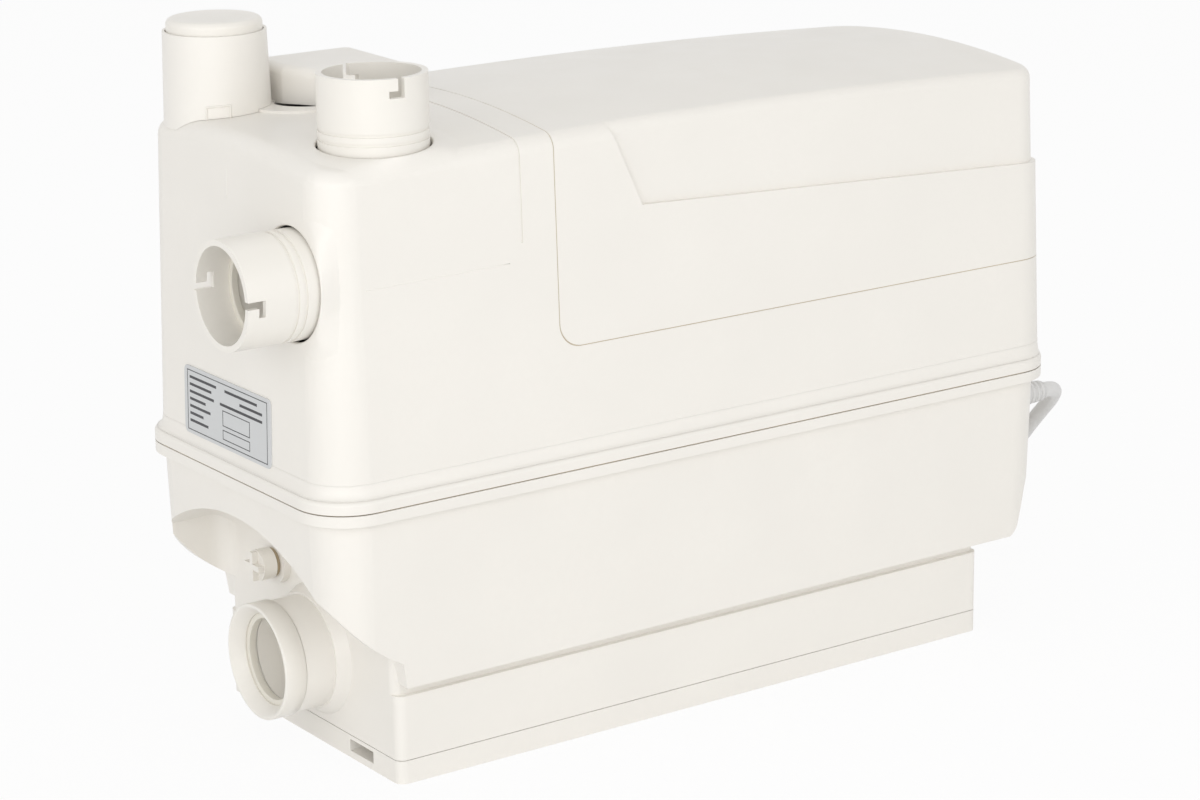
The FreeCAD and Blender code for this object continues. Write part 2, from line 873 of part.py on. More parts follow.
def make_valve_cover(form, housing):
    """The raised cover over the check valve, seated on the housing's crown."""
    left = size.valve_x - size.valve_cover_left
    right = size.valve_x + size.valve_cover_right
    back = size.flange_width - size.valve_cover_back
    front = size.outlet_y - size.valve_cover_front
    foot = size.housing_top - size.valve_cover_depth
    corners = [
        (left, back),
        (left, front + size.valve_cover_waist),
        (left + size.valve_cover_nose, front + size.valve_cover_cheek),
        (right - size.valve_cover_nose / 4, front),
        (right, back),
    ]
    shells = []
    for inset in (0, size.wall):
        middle_x = (left + right) / 2
        middle_y = (front + back) / 2
        half_x = (right - left) / 2
        half_y = (back - front) / 2
        outline = []
        for x, y in corners:
            outline.append(
                Vector(
                    middle_x + (x - middle_x) * (1 - inset / half_x),
                    middle_y + (y - middle_y) * (1 - inset / half_y),
                    foot,
                )
            )
        height = size.valve_cover_top - inset - foot
        solid = prism(Part.makePolygon(outline + outline[:1]), Vector(0, 0, height))
        upright = [edge for edge in solid.Edges if edge.BoundBox.ZLength > 1]
        solid = solid.makeFillet(size.valve_cover_corner - inset, upright)
        if inset == 0:
            top = [edge for edge in solid.Edges if edge.BoundBox.ZMin > size.valve_cover_top - 0.01]
            solid = solid.makeFillet(size.valve_cover_round, top)
        shells.append(solid)
    return shells[0].cut(shells[1]).cut(form).cut(housing)


def sketch_on(body, role, name, level="0"):
    """A sketch on one of the body's own origin planes."""
    sketch = body.newObject("Sketcher::SketchObject", name)
    plane = next(item for item in body.Origin.OriginFeatures if item.Role == role)
    sketch.AttachmentSupport = [(plane, "")]
    sketch.MapMode = "FlatFace"
    sketch.setExpression("AttachmentOffset.Base.z", formula(level))
    return sketch


def sketch_circle(sketch, radius, x="0", y="0"):
    """A circle whose radius and centre follow the sheet."""
    index = sketch.addGeometry(Part.Circle(Vector(1, 1, 0), Vector(0, 0, 1), 1), False)
    for kind, text in (("Radius", radius), ("DistanceX", x), ("DistanceY", y)):
        if kind == "Radius":
            number = sketch.addConstraint(Sketcher.Constraint(kind, index, 1.0))
        else:
            number = sketch.addConstraint(Sketcher.Constraint(kind, -1, 1, index, 3, 1.0))
        sketch.setExpression(f"Constraints[{number}]", formula(text))
    return index


def sketch_rounded_rectangle(sketch, length, width, corner, x="0", y="0"):
    """A centred rectangle with tangent corner arcs, sized by the sheet."""
    half_x, half_y, radius = 10.0, 6.0, 2.0
    lines = []
    corners = []
    ends = [
        ((-half_x + radius, -half_y), (half_x - radius, -half_y)),
        ((half_x, -half_y + radius), (half_x, half_y - radius)),
        ((half_x - radius, half_y), (-half_x + radius, half_y)),
        ((-half_x, half_y - radius), (-half_x, -half_y + radius)),
    ]
    for start, end in ends:
        lines.append(sketch.addGeometry(Part.LineSegment(Vector(*start, 0), Vector(*end, 0)), False))
    centres = [(1, -1, -90), (1, 1, 0), (-1, 1, 90), (-1, -1, 180)]
    for side_x, side_y, start in centres:
        centre = Vector(side_x * (half_x - radius), side_y * (half_y - radius), 0)
        circle = Part.Circle(centre, Vector(0, 0, 1), radius)
        arc = Part.ArcOfCircle(circle, math.radians(start), math.radians(start + 90))
        corners.append(sketch.addGeometry(arc, False))
    for number in range(4):
        sketch.addConstraint(Sketcher.Constraint("Tangent", lines[number], 2, corners[number], 1))
        sketch.addConstraint(Sketcher.Constraint("Tangent", corners[number], 2, lines[(number + 1) % 4], 1))
    for number, kind in enumerate(("Horizontal", "Vertical", "Horizontal", "Vertical")):
        sketch.addConstraint(Sketcher.Constraint(kind, lines[number]))
    for number in range(1, 4):
        sketch.addConstraint(Sketcher.Constraint("Equal", corners[0], corners[number]))
    measures = [
        (Sketcher.Constraint("Radius", corners[0], radius), corner),
        (Sketcher.Constraint("DistanceX", lines[3], 1, lines[1], 1, 2 * half_x), length),
        (Sketcher.Constraint("DistanceY", lines[0], 1, lines[2], 1, 2 * half_y), width),
        (Sketcher.Constraint("DistanceX", -1, 1, lines[1], 1, half_x), f"({x}) + ({length}) / 2"),
        (Sketcher.Constraint("DistanceY", -1, 1, lines[2], 1, half_y), f"({y}) + ({width}) / 2"),
    ]
    for constraint, text in measures:
        number = sketch.addConstraint(constraint)
        sketch.setExpression(f"Constraints[{number}]", formula(text))


def new_body(label, x, y, z, axis="Z"):
    body = doc.addObject("PartDesign::Body", label)
    put(body, x, y, z, axis)
    return piece(body, label)


def pad(body, sketch, height, name, reverse=False):
    item = body.newObject("PartDesign::Pad", name)
    item.Profile = sketch
    item.Reversed = reverse
    bind(item, Length=height)
    doc.recompute()
    return item


def pocket(body, sketch, depth, name, reverse=False):
    """Cut a sketch out of the body, and make sure that it did."""
    doc.recompute()
    before = body.Shape.Volume
    item = body.newObject("PartDesign::Pocket", name)
    item.Profile = sketch
    item.Reversed = reverse
    bind(item, Length=depth)
    doc.recompute()
    if body.Shape.Volume > before - 0.1:
        raise RuntimeError(f"{name} cuts nothing")
    return item


def polar(body, original, count, name):
    """Repeat a feature round the body's own Z axis."""
    pattern = body.newObject("PartDesign::PolarPattern", name)
    pattern.Originals = [original]
    axis = next(item for item in body.Origin.OriginFeatures if item.Role == "Z_Axis")
    pattern.Axis = (axis, [""])
    pattern.Angle = 360
    bind(pattern, Occurrences=count)
    body.Tip = pattern
    doc.recompute()
    return pattern


def build_base():
    """The base frame with a fixing slot in each end, and the pads under its corners."""
    body = new_body("base_frame", "plinth_start + plinth_length / 2", "flange_width / 2", "0")
    width = "flange_width - 2 * plinth_inset"
    outline = sketch_on(body, "XY_Plane", "base_outline")
    sketch_rounded_rectangle(outline, "plinth_length", width, "plinth_corner")
    pad(body, outline, "base_thickness - seat_gap", "base_pad")
    opening = sketch_on(body, "XY_Plane", "base_opening")
    sketch_rounded_rectangle(
        opening, "plinth_length - 2 * base_rim", f"{width} - 2 * base_rim", "plinth_corner"
    )
    pocket(body, opening, "base_thickness", "base_hollow", reverse=True)
    slots = sketch_on(body, "XY_Plane", "slot_plan", "base_slot_level")
    for side_x in ("-", ""):
        for side_y in ("-", ""):
            sketch_rounded_rectangle(
                slots,
                "base_rim * 1.2",
                "base_slot_length",
                "1",
                f"{side_x}(plinth_length / 2 - base_rim * 0.2)",
                f"{side_y}(flange_width / 2 - base_slot_centre)",
            )
    pocket(body, slots, "base_slot_height", "fixing_slots", reverse=True)
    recesses = sketch_on(body, "XY_Plane", "pad_plan")
    for side_x in ("-", ""):
        for side_y in ("-", ""):
            sketch_circle(
                recesses,
                "base_rim / 2 - pad_margin",
                f"{side_x}(plinth_length / 2 - pad_place)",
                f"{side_y}(flange_width / 2 - plinth_inset - base_rim / 2)",
            )
    pocket(body, recesses, "pad_recess", "pad_recesses", reverse=True)
    pads = []
    for side_x in ("-", "+"):
        for side_y in ("-", "+"):
            pads.append(
                cylinder(
                    "pad",
                    "base_rim / 2 - pad_margin - seat_gap / 2",
                    "pad_recess - seat_gap / 2",
                    f"plinth_start + plinth_length / 2 {side_x} (plinth_length / 2 - pad_place)",
                    f"flange_width / 2 {side_y} (flange_width / 2 - plinth_inset - base_rim / 2)",
                    "0",
                )
            )
    piece(group("floor_pads", *pads), "floor_pads")


def build_shells():
    piece(feature("tank", make_tank()), "tank")
    form, housing, cover = make_shells()
    piece(feature("upper_housing", housing), "upper_housing")
    piece(feature("motor_cover", cover), "motor_cover")
    piece(feature("rim_gasket", make_gasket()), "rim_gasket")
    piece(feature("valve_cover", make_valve_cover(form, housing)), "valve_cover")


def build_socket(label, x, y, z, axis):
    """An inlet socket: a barrel with two bayonet slots and a narrower neck, its mouth up its own Z."""
    body = new_body(label, x, y, z, axis)
    barrel = sketch_on(body, "XY_Plane", label + "_barrel", "neck_length")
    sketch_circle(barrel, "socket_radius")
    pad(body, barrel, "socket_depth", label + "_barrel_pad")
    neck = sketch_on(body, "XY_Plane", label + "_neck")
    sketch_circle(neck, "neck_radius")
    pad(body, neck, "neck_length", label + "_neck_pad")
    rim = "neck_length + socket_depth"
    for role, radius, foot, depth in (
        ("throat", "socket_throat", "neck_length + wall", "socket_depth"),
        ("seat", "seal_seat_radius", f"{rim} - lip_seal_depth - lip_seal_thickness", "lip_seal_thickness"),
        ("mouth", "socket_bore", f"{rim} - lip_seal_depth", "lip_seal_depth + 1"),
    ):
        bore = sketch_on(body, "XY_Plane", f"{label}_{role}", foot)
        sketch_circle(bore, radius)
        pocket(body, bore, depth, f"{label}_{role}_cut", reverse=True)
    through = sketch_on(body, "XY_Plane", label + "_through")
    sketch_circle(through, "neck_bore")
    pocket(body, through, "neck_length + wall + 1", label + "_through_cut", reverse=True)
    for number in (0, 1):
        depth = f"{rim} - groove_place - {number} * 3 * groove_width"
        groove = sketch_on(body, "XY_Plane", f"{label}_groove_{number}", depth)
        sketch_circle(groove, "socket_radius + 1")
        sketch_circle(groove, "socket_radius - groove_depth")
        pocket(body, groove, "groove_width", f"{label}_groove_cut_{number}", reverse=True)
    slot = sketch_on(body, "XY_Plane", label + "_slot", f"{rim} - bayonet_depth")
    sketch_rounded_rectangle(slot, "bayonet_width", "4 * wall", "0.5", "0", "socket_radius")
    slot_cut = pocket(body, slot, "bayonet_depth + 1", label + "_slot_cut", reverse=True)
    polar(body, slot_cut, "2", label + "_slots")
    foot = sketch_on(body, "XY_Plane", label + "_foot", f"{rim} - bayonet_depth")
    sketch_rounded_rectangle(
        foot, "bayonet_width * 2.2", "3 * wall", "0.5", "bayonet_width * 0.7", "socket_radius - 1"
    )
    foot_cut = pocket(body, foot, "bayonet_width", label + "_foot_cut", reverse=True)
    polar(body, foot_cut, "2", label + "_feet")


def build_inlets():
    """Both sockets, their lip seals and the tee that leads them down into the tank."""
    step = "socket_depth + neck_length"
    build_socket("top_inlet_socket", "inlet_x", "inlet_y", f"top_inlet_rim - ({step})", "Z")
    build_socket("side_inlet_socket", f"{step} - side_reach", "inlet_y", "side_inlet_level", "-X")
    seal = ("seal_seat_radius - 0.1", "lip_seal_bore", "lip_seal_thickness")
    seal_foot = "top_inlet_rim - lip_seal_depth - lip_seal_thickness"
    top_seal = tube("top_seal", *seal, "inlet_x", "inlet_y", seal_foot)
    piece(top_seal, "top_socket_seal")
    side_seal = tube("side_seal", *seal, "lip_seal_depth - side_reach", "inlet_y", "side_inlet_level", "X")
    piece(side_seal, "side_socket_seal")
    shoulder = "top_inlet_rim - socket_depth - seat_gap"
    foot = "plate_level - ledge_thickness"
    stem = cylinder("tee_stem", "tee_radius", f"{shoulder} - ({foot})", "inlet_x", "inlet_y", foot)
    branch_x = "socket_depth - side_reach + seat_gap"
    branch = cylinder(
        "tee_branch", "tee_radius", f"inlet_x - ({branch_x})", branch_x, "inlet_y", "side_inlet_level", "X"
    )
    collar_foot = "plate_level + plate_thickness + seat_gap"
    collar = cylinder("tee_collar", "tee_radius + 1.6", "3", "inlet_x", "inlet_y", collar_foot)
    stem_bore = cylinder("tee_stem_bore", "tee_bore", f"{shoulder} - ({foot})", "inlet_x", "inlet_y", foot)
    branch_bore = cylinder(
        "tee_branch_bore", "tee_bore", f"inlet_x - ({branch_x})", branch_x, "inlet_y", "side_inlet_level", "X"
    )
    body = join("tee_body", stem, branch, collar)
    piece(cut("inlet_tee", body, stem_bore, branch_bore), "inlet_tee")


def build_low_inlet():
    """The collar on the low inlet's barrel, its seal, and the back-flow flap on its pin."""
    y = "low_inlet_y"
    z = "low_inlet_level"
    face = "low_inlet_face"
    seal_x = "low_inlet_face + low_seal_depth"
    length = "low_collar_length - seat_gap"
    collar = tube("low_collar", "low_collar_radius", "low_throat", length, face, y, z, "X")
    mouth = cylinder("low_mouth", "low_bore", "low_seal_depth", face, y, z, "X")
    seat = cylinder("low_seat", "low_seat_radius", "lip_seal_thickness", seal_x, y, z, "X")
    piece(cut("low_collar_bored", collar, mouth, seat), "low_inlet_collar")
    seal = tube("low_seal", "low_seat_radius - 0.1", "lip_seal_bore", "lip_seal_thickness", seal_x, y, z, "X")
    piece(seal, "low_socket_seal")
    pin_x = "plinth_start + wall + seat_gap + low_flap_thickness / 2 + 1"
    pin_z = "low_inlet_level + low_flap_radius + 3"
    disc = cylinder(
        "flap_disc", "low_flap_radius", "low_flap_thickness", "plinth_start + wall + seat_gap", y, z, "X"
    )
    half = "(ear_spread - ear_thickness / 2 - seat_gap)"
    hanger = block(
        "flap_hanger",
        "low_flap_thickness",
        f"2 * {half}",
        "7",
        "plinth_start + wall + seat_gap + 0.2",
        f"{y} - {half}",
        f"{pin_z} - 6",
    )
    knuckle = cylinder("flap_knuckle", "2", f"2 * {half}", pin_x, f"{y} - {half}", pin_z, "Y")
    bore = cylinder("flap_bore", "flap_pin_radius + flap_pin_clearance", "60", pin_x, f"{y} - 30", pin_z, "Y")
    flap = cut("low_inlet_flap", join("flap_body", disc, hanger, knuckle), bore)
    piece(flap, "low_inlet_flap")
    reach = "(ear_spread + ear_thickness / 2)"
    pin = cylinder("low_flap_pin", "flap_pin_radius", f"2 * {reach}", pin_x, f"{y} - {reach}", pin_z, "Y")
    piece(pin, "low_flap_pin")


def build_drain():
    """The quarter-turn drain plug with its crossed grip, and its sealing ring."""
    boss_x = "plinth_start - drain_boss_depth"
    ring = "1.5"
    head_x = f"{boss_x} - {ring} - seat_gap - drain_head"
    head = cylinder("drain_disc", "drain_radius", "drain_head", head_x, "drain_y", "drain_level", "X")
    stem_length = "drain_head + drain_boss_depth + wall + 2"
    stem = cylinder("drain_stem", "drain_stem", stem_length, head_x, "drain_y", "drain_level", "X")
    grips = []
    for name, width, height in (
        ("grip_across", "2 * drain_radius - 1", "drain_grip_width"),
        ("grip_up", "drain_grip_width", "2 * drain_radius - 1"),
    ):
        grips.append(
            block(
                name,
                "drain_grip_height + 1",
                width,
                height,
                f"{head_x} - drain_grip_height",
                f"drain_y - ({width}) / 2",
                f"drain_level - ({height}) / 2",
            )
        )
    piece(join("drain_plug", head, stem, *grips), "drain_plug")
    seal = tube(
        "drain_ring",
        "drain_radius - 0.6",
        "drain_stem + 0.1",
        ring,
        f"{boss_x} - {ring}",
        "drain_y",
        "drain_level",
        "X",
    )
    piece(seal, "drain_seal")


def build_vent():
    """The vent column: an inner pipe, a sleeve that shows, a carbon filter and a lift-off cap."""
    x = "vent_x"
    y = "vent_y"
    foot = "plate_level - ledge_thickness"
    filter_foot = "vent_cap_top - vent_cap_depth - filter_height"
    pipe_top = f"({filter_foot} - seat_gap)"
    pipe = tube("vent_tube", "vent_pipe_radius", "vent_pipe_bore", f"{pipe_top} - ({foot})", x, y, foot)
    piece(pipe, "vent_pipe")
    sleeve_foot = "housing_top - 10"
    height = f"sleeve_top - ({sleeve_foot})"
    outer = cone("sleeve_outer", "sleeve_foot_radius", "sleeve_top_radius", height, x, y, sleeve_foot)
    bore = cylinder("sleeve_bore", "sleeve_top_radius - sleeve_wall", height, x, y, sleeve_foot)
    open_ring = cut("sleeve_ring", outer, bore)
    seat = feature("sleeve_seat", housing_block(-0.1).fuse(valve_land(-0.1)))
    piece(cut("vent_sleeve", open_ring, seat), "vent_sleeve")
    piece(cylinder("filter", "filter_radius", "filter_height", x, y, filter_foot), "carbon_filter")
    cap_foot = "vent_cap_top - vent_cap_depth + seat_gap"
    cap = cylinder("cap_body", "vent_cap_radius", "vent_cap_depth - seat_gap", x, y, cap_foot)
    doc.recompute()
    rounded = doc.addObject("Part::Fillet", "cap_rounded")
    rounded.Base = cap
    top_edge = max(range(len(cap.Shape.Edges)), key=lambda index: cap.Shape.Edges[index].BoundBox.ZMin)
    rounded.Edges = [(top_edge + 1, size.vent_cap_round, size.vent_cap_round)]
    hollow = cylinder(
        "cap_hollow",
        "vent_cap_radius - 2",
        "vent_cap_depth - 3",
        x,
        y,
        "vent_cap_top - vent_cap_depth",
    )
    piece(cut("vent_cap", rounded, hollow), "vent_cap")


def build_plate():
    """The pump plate on the tank's ledge, with holes for what passes through, its seal and screws."""
    inset = "(flange_overhang + wall + plate_margin)"
    body = new_body("pump_plate", "flange_length / 2", "flange_width / 2", "plate_level")
    outline = sketch_on(body, "XY_Plane", "plate_outline")
    sketch_rounded_rectangle(
        outline, f"flange_length - 2 * {inset}", f"flange_width - 2 * {inset}", f"flange_corner - {inset}"
    )
    pad(body, outline, "plate_thickness", "plate_pad")
    holes = sketch_on(body, "XY_Plane", "plate_holes")
    for radius, x, y in (
        ("tee_radius + seat_gap", "inlet_x", "inlet_y"),
        ("vent_pipe_radius + seat_gap", "vent_x", "vent_y"),
        ("outlet_radius + seat_gap", "valve_x", "outlet_y"),
        ("seal_radius + 0.1", "motor_x", "motor_y"),
        ("bell_radius / 2 + seat_gap", "switch_x", "switch_y"),
    ):
        sketch_circle(holes, radius, f"{x} - flange_length / 2", f"{y} - flange_width / 2")
    screw_hole = "screw_radius + screw_clearance"
    for x, y in plate_screw_places() + motor_screw_places():
        sketch_circle(holes, screw_hole, f"{x} - flange_length / 2", f"{y} - flange_width / 2")
    sketch_rounded_rectangle(
        holes,
        "pocket_depth - wall - 2",
        "pocket_width - 2",
        "2",
        "flange_length / 2 - flange_overhang - pocket_depth / 2 - wall",
        "lead_y - flange_width / 2",
    )
    pocket(body, holes, "plate_thickness", "plate_cut", reverse=True)
    seal_foot = size.plate_level + size.plate_thickness
    inner = size.flange_overhang + size.wall + size.plate_margin
    seal_top = seal_foot + size.plate_seal_thickness
    frame = ring_prism(inner + 0.2, inner + size.plate_seal_width, seal_foot, seal_top)
    piece(feature("plate_seal", frame), "plate_seal")
    screws = []
    for x, y in plate_screw_places():
        screws.append(screw("plate_screw", x, y, "plate_level + plate_thickness"))
    piece(group("plate_screws", *screws), "plate_screws")


def plate_screw_places():
    """Where the pump plate is screwed to the ledge, as formulas."""
    places = []
    for share in PLATE_SCREW_SHARES:
        for y in ("plate_screw_inset", "flange_width - plate_screw_inset"):
            places.append((f"flange_length * {share}", y))
    return places


def motor_screw_places():
    """The four screws that hold the motor's flange, as formulas."""
    offset = "motor_screw_circle * 0.7071"
    places = []
    for side_x in ("-", "+"):
        for side_y in ("-", "+"):
            places.append((f"motor_x {side_x} {offset}", f"motor_y {side_y} {offset}"))
    return places


def screw(name, x, y, z):
    """A round-headed screw whose head rests on level z."""
    shank = cylinder(name + "_shank", "screw_radius", "screw_length", x, y, f"{z} - screw_length + 1")
    head = cylinder(name + "_head", "screw_head", "screw_radius", x, y, f"{z} + 0.05")
    return join(name, shank, head)


def build_motor():
    """The motor: a cast housing on the pump plate, stator, windings, end cap, capacitor and screws."""
    x = "motor_x"
    y = "motor_y"
    seat = "plate_level + plate_thickness + seat_gap"
    shell = cylinder("motor_shell", "motor_radius", "motor_height", x, y, seat)
    flange = cylinder("motor_flange", "motor_flange_radius", "motor_wall + 1", x, y, seat)
    hub = cylinder("motor_hub", "bearing_radius + motor_wall", "bearing_height + motor_wall", x, y, seat)
    cavity = cylinder(
        "motor_cavity", "motor_radius - motor_wall", "motor_height", x, y, f"{seat} + motor_wall"
    )
    hollow = cut("motor_bowl", join("motor_outside", shell, flange), cavity)
    tools = [
        cylinder("motor_bore", "shaft_radius + 2", "40", x, y, "plate_level"),
        cylinder("bearing_pocket", "bearing_radius + 0.05", "40", x, y, f"{seat} + motor_wall"),
    ]
    screws = []
    for screw_x, screw_y in motor_screw_places():
        hole = "screw_radius + screw_clearance"
        tools.append(cylinder("motor_hole", hole, "40", screw_x, screw_y, "plate_level"))
        screws.append(screw("motor_screw", screw_x, screw_y, f"{seat} + motor_wall + 1"))
    piece(cut("motor_housing", join("motor_casting", hollow, hub), *tools), "motor_housing")
    piece(group("motor_screws", *screws), "motor_screws")
    core_foot = f"{seat} + stator_start"
    core = tube(
        "stator", "motor_radius - motor_wall - 0.1", "stator_bore", "stator_height", x, y, core_foot
    )
    piece(core, "stator_core")
    rings = []
    for name, foot in (
        ("low_winding", f"{core_foot} - winding_height"),
        ("top_winding", f"{core_foot} + stator_height"),
    ):
        rings.append(
            tube(name, "motor_radius - motor_wall - 5", "stator_bore + 3", "winding_height", x, y, foot)
        )
    piece(group("stator_windings", *rings), "stator_windings")
    cap_foot = f"({seat} + motor_height + seat_gap)"
    plate = cylinder("cap_plate", "motor_radius", "end_cap_thickness", x, y, cap_foot)
    cap_hub = cylinder(
        "cap_hub", "bearing_radius + motor_wall", "bearing_height", x, y, f"{cap_foot} - bearing_height"
    )
    cap_bore = cylinder("cap_bore", "shaft_radius + 2", "40", x, y, f"{cap_foot} - 20")
    cap_pocket = cylinder(
        "cap_pocket", "bearing_radius + 0.05", "bearing_height", x, y, f"{cap_foot} - bearing_height"
    )
    piece(cut("motor_end_cap", join("cap_outside", plate, cap_hub), cap_bore, cap_pocket), "motor_end_cap")
    bearing = ("bearing_radius", "shaft_radius + 0.02", "bearing_height")
    piece(tube("bearing_low", *bearing, x, y, f"{seat} + motor_wall"), "lower_bearing")
    piece(tube("bearing_top", *bearing, x, y, f"{cap_foot} - bearing_height"), "upper_bearing")
    seal = tube(
        "seal_body", "seal_radius", "shaft_radius + 0.04", "plate_thickness", x, y, "plate_level"
    )
    piece(seal, "shaft_seal")


def build_rotor():
    """What turns: the shaft, rotor core, cooling fan and impeller."""
    x = "motor_x"
    y = "motor_y"
    seat = "plate_level + plate_thickness + seat_gap"
    shaft = cylinder("rotor_shaft", "shaft_radius", "shaft_top - shaft_foot", x, y, "shaft_foot")
    piece(shaft, "rotor_shaft")
    core_foot = f"{seat} + stator_start"
    core = tube("core", "stator_bore - rotor_gap", "shaft_radius", "stator_height", x, y, core_foot)
    piece(core, "rotor_core")
    build_wheel(
        "cooling_fan",
        foot="shaft_top - fan_height - 1",
        radius="fan_radius",
        height="fan_height",
        disc="fan_disc",
        disc_level="0",
        blades="blade_count + 1",
    )
    build_wheel(
        "impeller",
        foot="volute_foot + impeller_lift",
        radius="impeller_radius",
        height="impeller_height",
        disc="impeller_disc",
        disc_level="impeller_height - impeller_disc",
        blades="blade_count",
    )


def build_wheel(label, foot, radius, height, disc, disc_level, blades):
    """A disc with a hub and straight blades, bored for the shaft."""
    body = new_body(label, "motor_x", "motor_y", foot)
    plate = sketch_on(body, "XY_Plane", label + "_plate", disc_level)
    sketch_circle(plate, radius)
    pad(body, plate, disc, label + "_disc")
    hub = sketch_on(body, "XY_Plane", label + "_hub")
    sketch_circle(hub, "shaft_radius + 4")
    pad(body, hub, height, label + "_hub_pad")
    blade = sketch_on(body, "XY_Plane", label + "_blade")
    blade_length = f"{radius} - shaft_radius - 3"
    blade_place = f"({radius} + shaft_radius) / 2 + 1"
    sketch_rounded_rectangle(blade, blade_length, "blade_thickness", "0.8", blade_place)
    blade_pad = pad(body, blade, height, label + "_blade_pad")
    polar(body, blade_pad, blades, label + "_blades")
    bore = sketch_on(body, "XY_Plane", label + "_bore")
    sketch_circle(bore, "shaft_radius")
    pocket(body, bore, height, label + "_bore_cut", reverse=True)


def build_pump():
    """The pump casing under the plate, its suction strainer and the riser to the check valve."""
    x = "motor_x"
    y = "motor_y"
    casing = cylinder("casing", "volute_radius", "volute_height", x, y, "volute_foot")
    collar_foot = "volute_foot + volute_height"
    collar = cylinder(
        "volute_collar", "seal_radius + 8", f"plate_level - seat_gap - ({collar_foot})", x, y, collar_foot
    )
    outlet = cylinder(
        "outlet", "outlet_radius", "motor_x - outlet_end", "outlet_end", "outlet_y", "outlet_level", "X"
    )
    chamber = cylinder(
        "chamber",
        "volute_radius - volute_wall",
        "volute_height - 2 * volute_wall",
        x,
        y,
        "volute_foot + volute_wall",
    )
    eye = cylinder("eye", "suction_eye", "20", x, y, "volute_foot - 10")
    shaft_way = cylinder("shaft_way", "seal_radius", "40", x, y, "volute_foot + volute_height - 10")
    outlet_way = cylinder(
        "outlet_way", "outlet_bore", "motor_x - outlet_end", "outlet_end", "outlet_y", "outlet_level", "X"
    )
    body = join("volute_body", casing, collar, outlet)
    piece(cut("pump_volute", body, chamber, eye, shaft_way, outlet_way), "pump_volute")
    outer = riser_form("riser_outer", "outlet_radius")
    piece(cut("riser_pipe", outer, riser_form("riser_inner", "outlet_bore")), "riser_pipe")
    foot = "base_thickness + tank_floor + seat_gap"
    height = f"volute_foot - seat_gap - ({foot})"
    wall = tube("strainer_wall", "strainer_radius", "strainer_radius - 3", height, x, y, foot)
    windows = []
    count = int(size.strainer_windows)
    for number in range(count // 2):
        window = block("window", "2 * strainer_radius + 10", "9", f"({height}) - 14", x, y, f"{foot} + 6")
        bar = doc.addObject("Part::Feature", "window_bar")
        doc.recompute()
        shape = window.Shape.copy()
        centre = Vector(size.motor_x, size.motor_y, 0) - middle
        shape.translate(Vector(-size.strainer_radius - 5, -4.5, 0))
        shape.rotate(centre, Vector(0, 0, 1), 360 * number / count)
        bar.Shape = shape
        windows.append(bar)
    piece(cut("suction_strainer", wall, *windows), "suction_strainer")


def riser_form(name, radius):
    """The riser's path at one radius: a run along the pump's outlet, a round elbow and the rise."""
    corner = ("valve_x", "outlet_y", "outlet_level")
    run = cylinder(name + "_run", radius, "outlet_end - seat_gap - valve_x", *corner, "X")
    rise = cylinder(name + "_rise", radius, "valve_foot - seat_gap - outlet_level", *corner)
    elbow = doc.addObject("Part::Sphere", name + "_elbow")
    bind(elbow, Radius=radius)
    put(elbow, *corner)
    return join(name, run, rise, elbow)


def build_discharge():
    """The check valve, with its flap on a pin, its lid, and the discharge port in the far wall."""
    x = "valve_x"
    y = "outlet_y"
    chamber = cylinder("valve_chamber", "valve_radius", "valve_height", x, y, "valve_foot")
    inside = cylinder("valve_inside", "valve_bore", "valve_height", x, y, "valve_foot + 10")
    inlet = cylinder("valve_inlet", "outlet_bore", "20", x, y, "valve_foot - 5")
    outlet = cylinder("valve_outlet", "port_root_radius + 0.1", "60", x, y, "port_level", "Y")
    pin_y = "outlet_y - valve_flap_radius - 0.2"
    pin_z = "valve_foot + 10 + seat_gap + valve_flap_thickness / 2 + 1"
    reach = "(valve_radius * 0.62)"
    hole_length = f"2 * {reach} + 20"
    hole_x = f"{x} - {reach} - 10"
    hole = cylinder("valve_pin_hole", "flap_pin_radius", hole_length, hole_x, pin_y, pin_z, "X")
    piece(cut("check_valve_body", chamber, inside, inlet, outlet, hole), "check_valve_body")
    pin = cylinder("check_valve_pin", "flap_pin_radius", f"2 * {reach}", f"{x} - {reach}", pin_y, pin_z, "X")
    piece(pin, "check_valve_pin")
    disc = cylinder(
        "valve_disc", "valve_flap_radius", "valve_flap_thickness", x, y, "valve_foot + 10 + seat_gap"
    )
    knuckle_x = f"{x} - valve_knuckle_length / 2"
    knuckle = cylinder("valve_knuckle", "1.8", "valve_knuckle_length", knuckle_x, pin_y, pin_z, "X")
    bore_radius = "flap_pin_radius + flap_pin_clearance"
    bore = cylinder("valve_knuckle_bore", bore_radius, "60", f"{x} - 30", pin_y, pin_z, "X")
    piece(cut("check_valve_flap", join("valve_flap_body", disc, knuckle), bore), "check_valve_flap")
    lid = cylinder(
        "check_valve_lid",
        "valve_radius",
        "valve_lid_thickness",
        x,
        y,
        "valve_foot + valve_height + seat_gap",
    )
    piece(lid, "check_valve_lid")
    start = "outlet_y + valve_radius * 0.55"
    length = f"flange_width + port_reach - ({start})"
    root = cylinder("port_root", "port_root_radius", length, x, start, "port_level", "Y")
    collar_y = "flange_width - port_collar_depth"
    collar_size = ("port_collar_radius", "port_collar_depth")
    collar = cylinder("port_collar", *collar_size, x, collar_y, "port_level", "Y")
    spigot = cylinder("port_spigot", "port_radius", "port_reach", x, "flange_width", "port_level", "Y")
    port = join("port_outer", root, collar, spigot)
    bore = cylinder("port_inner", "port_bore", length, x, start, "port_level", "Y")
    clear = cylinder("port_clear", "valve_bore", "valve_height", x, y, "valve_foot + 10")
    piece(cut("discharge_port", port, bore, clear), "discharge_port")


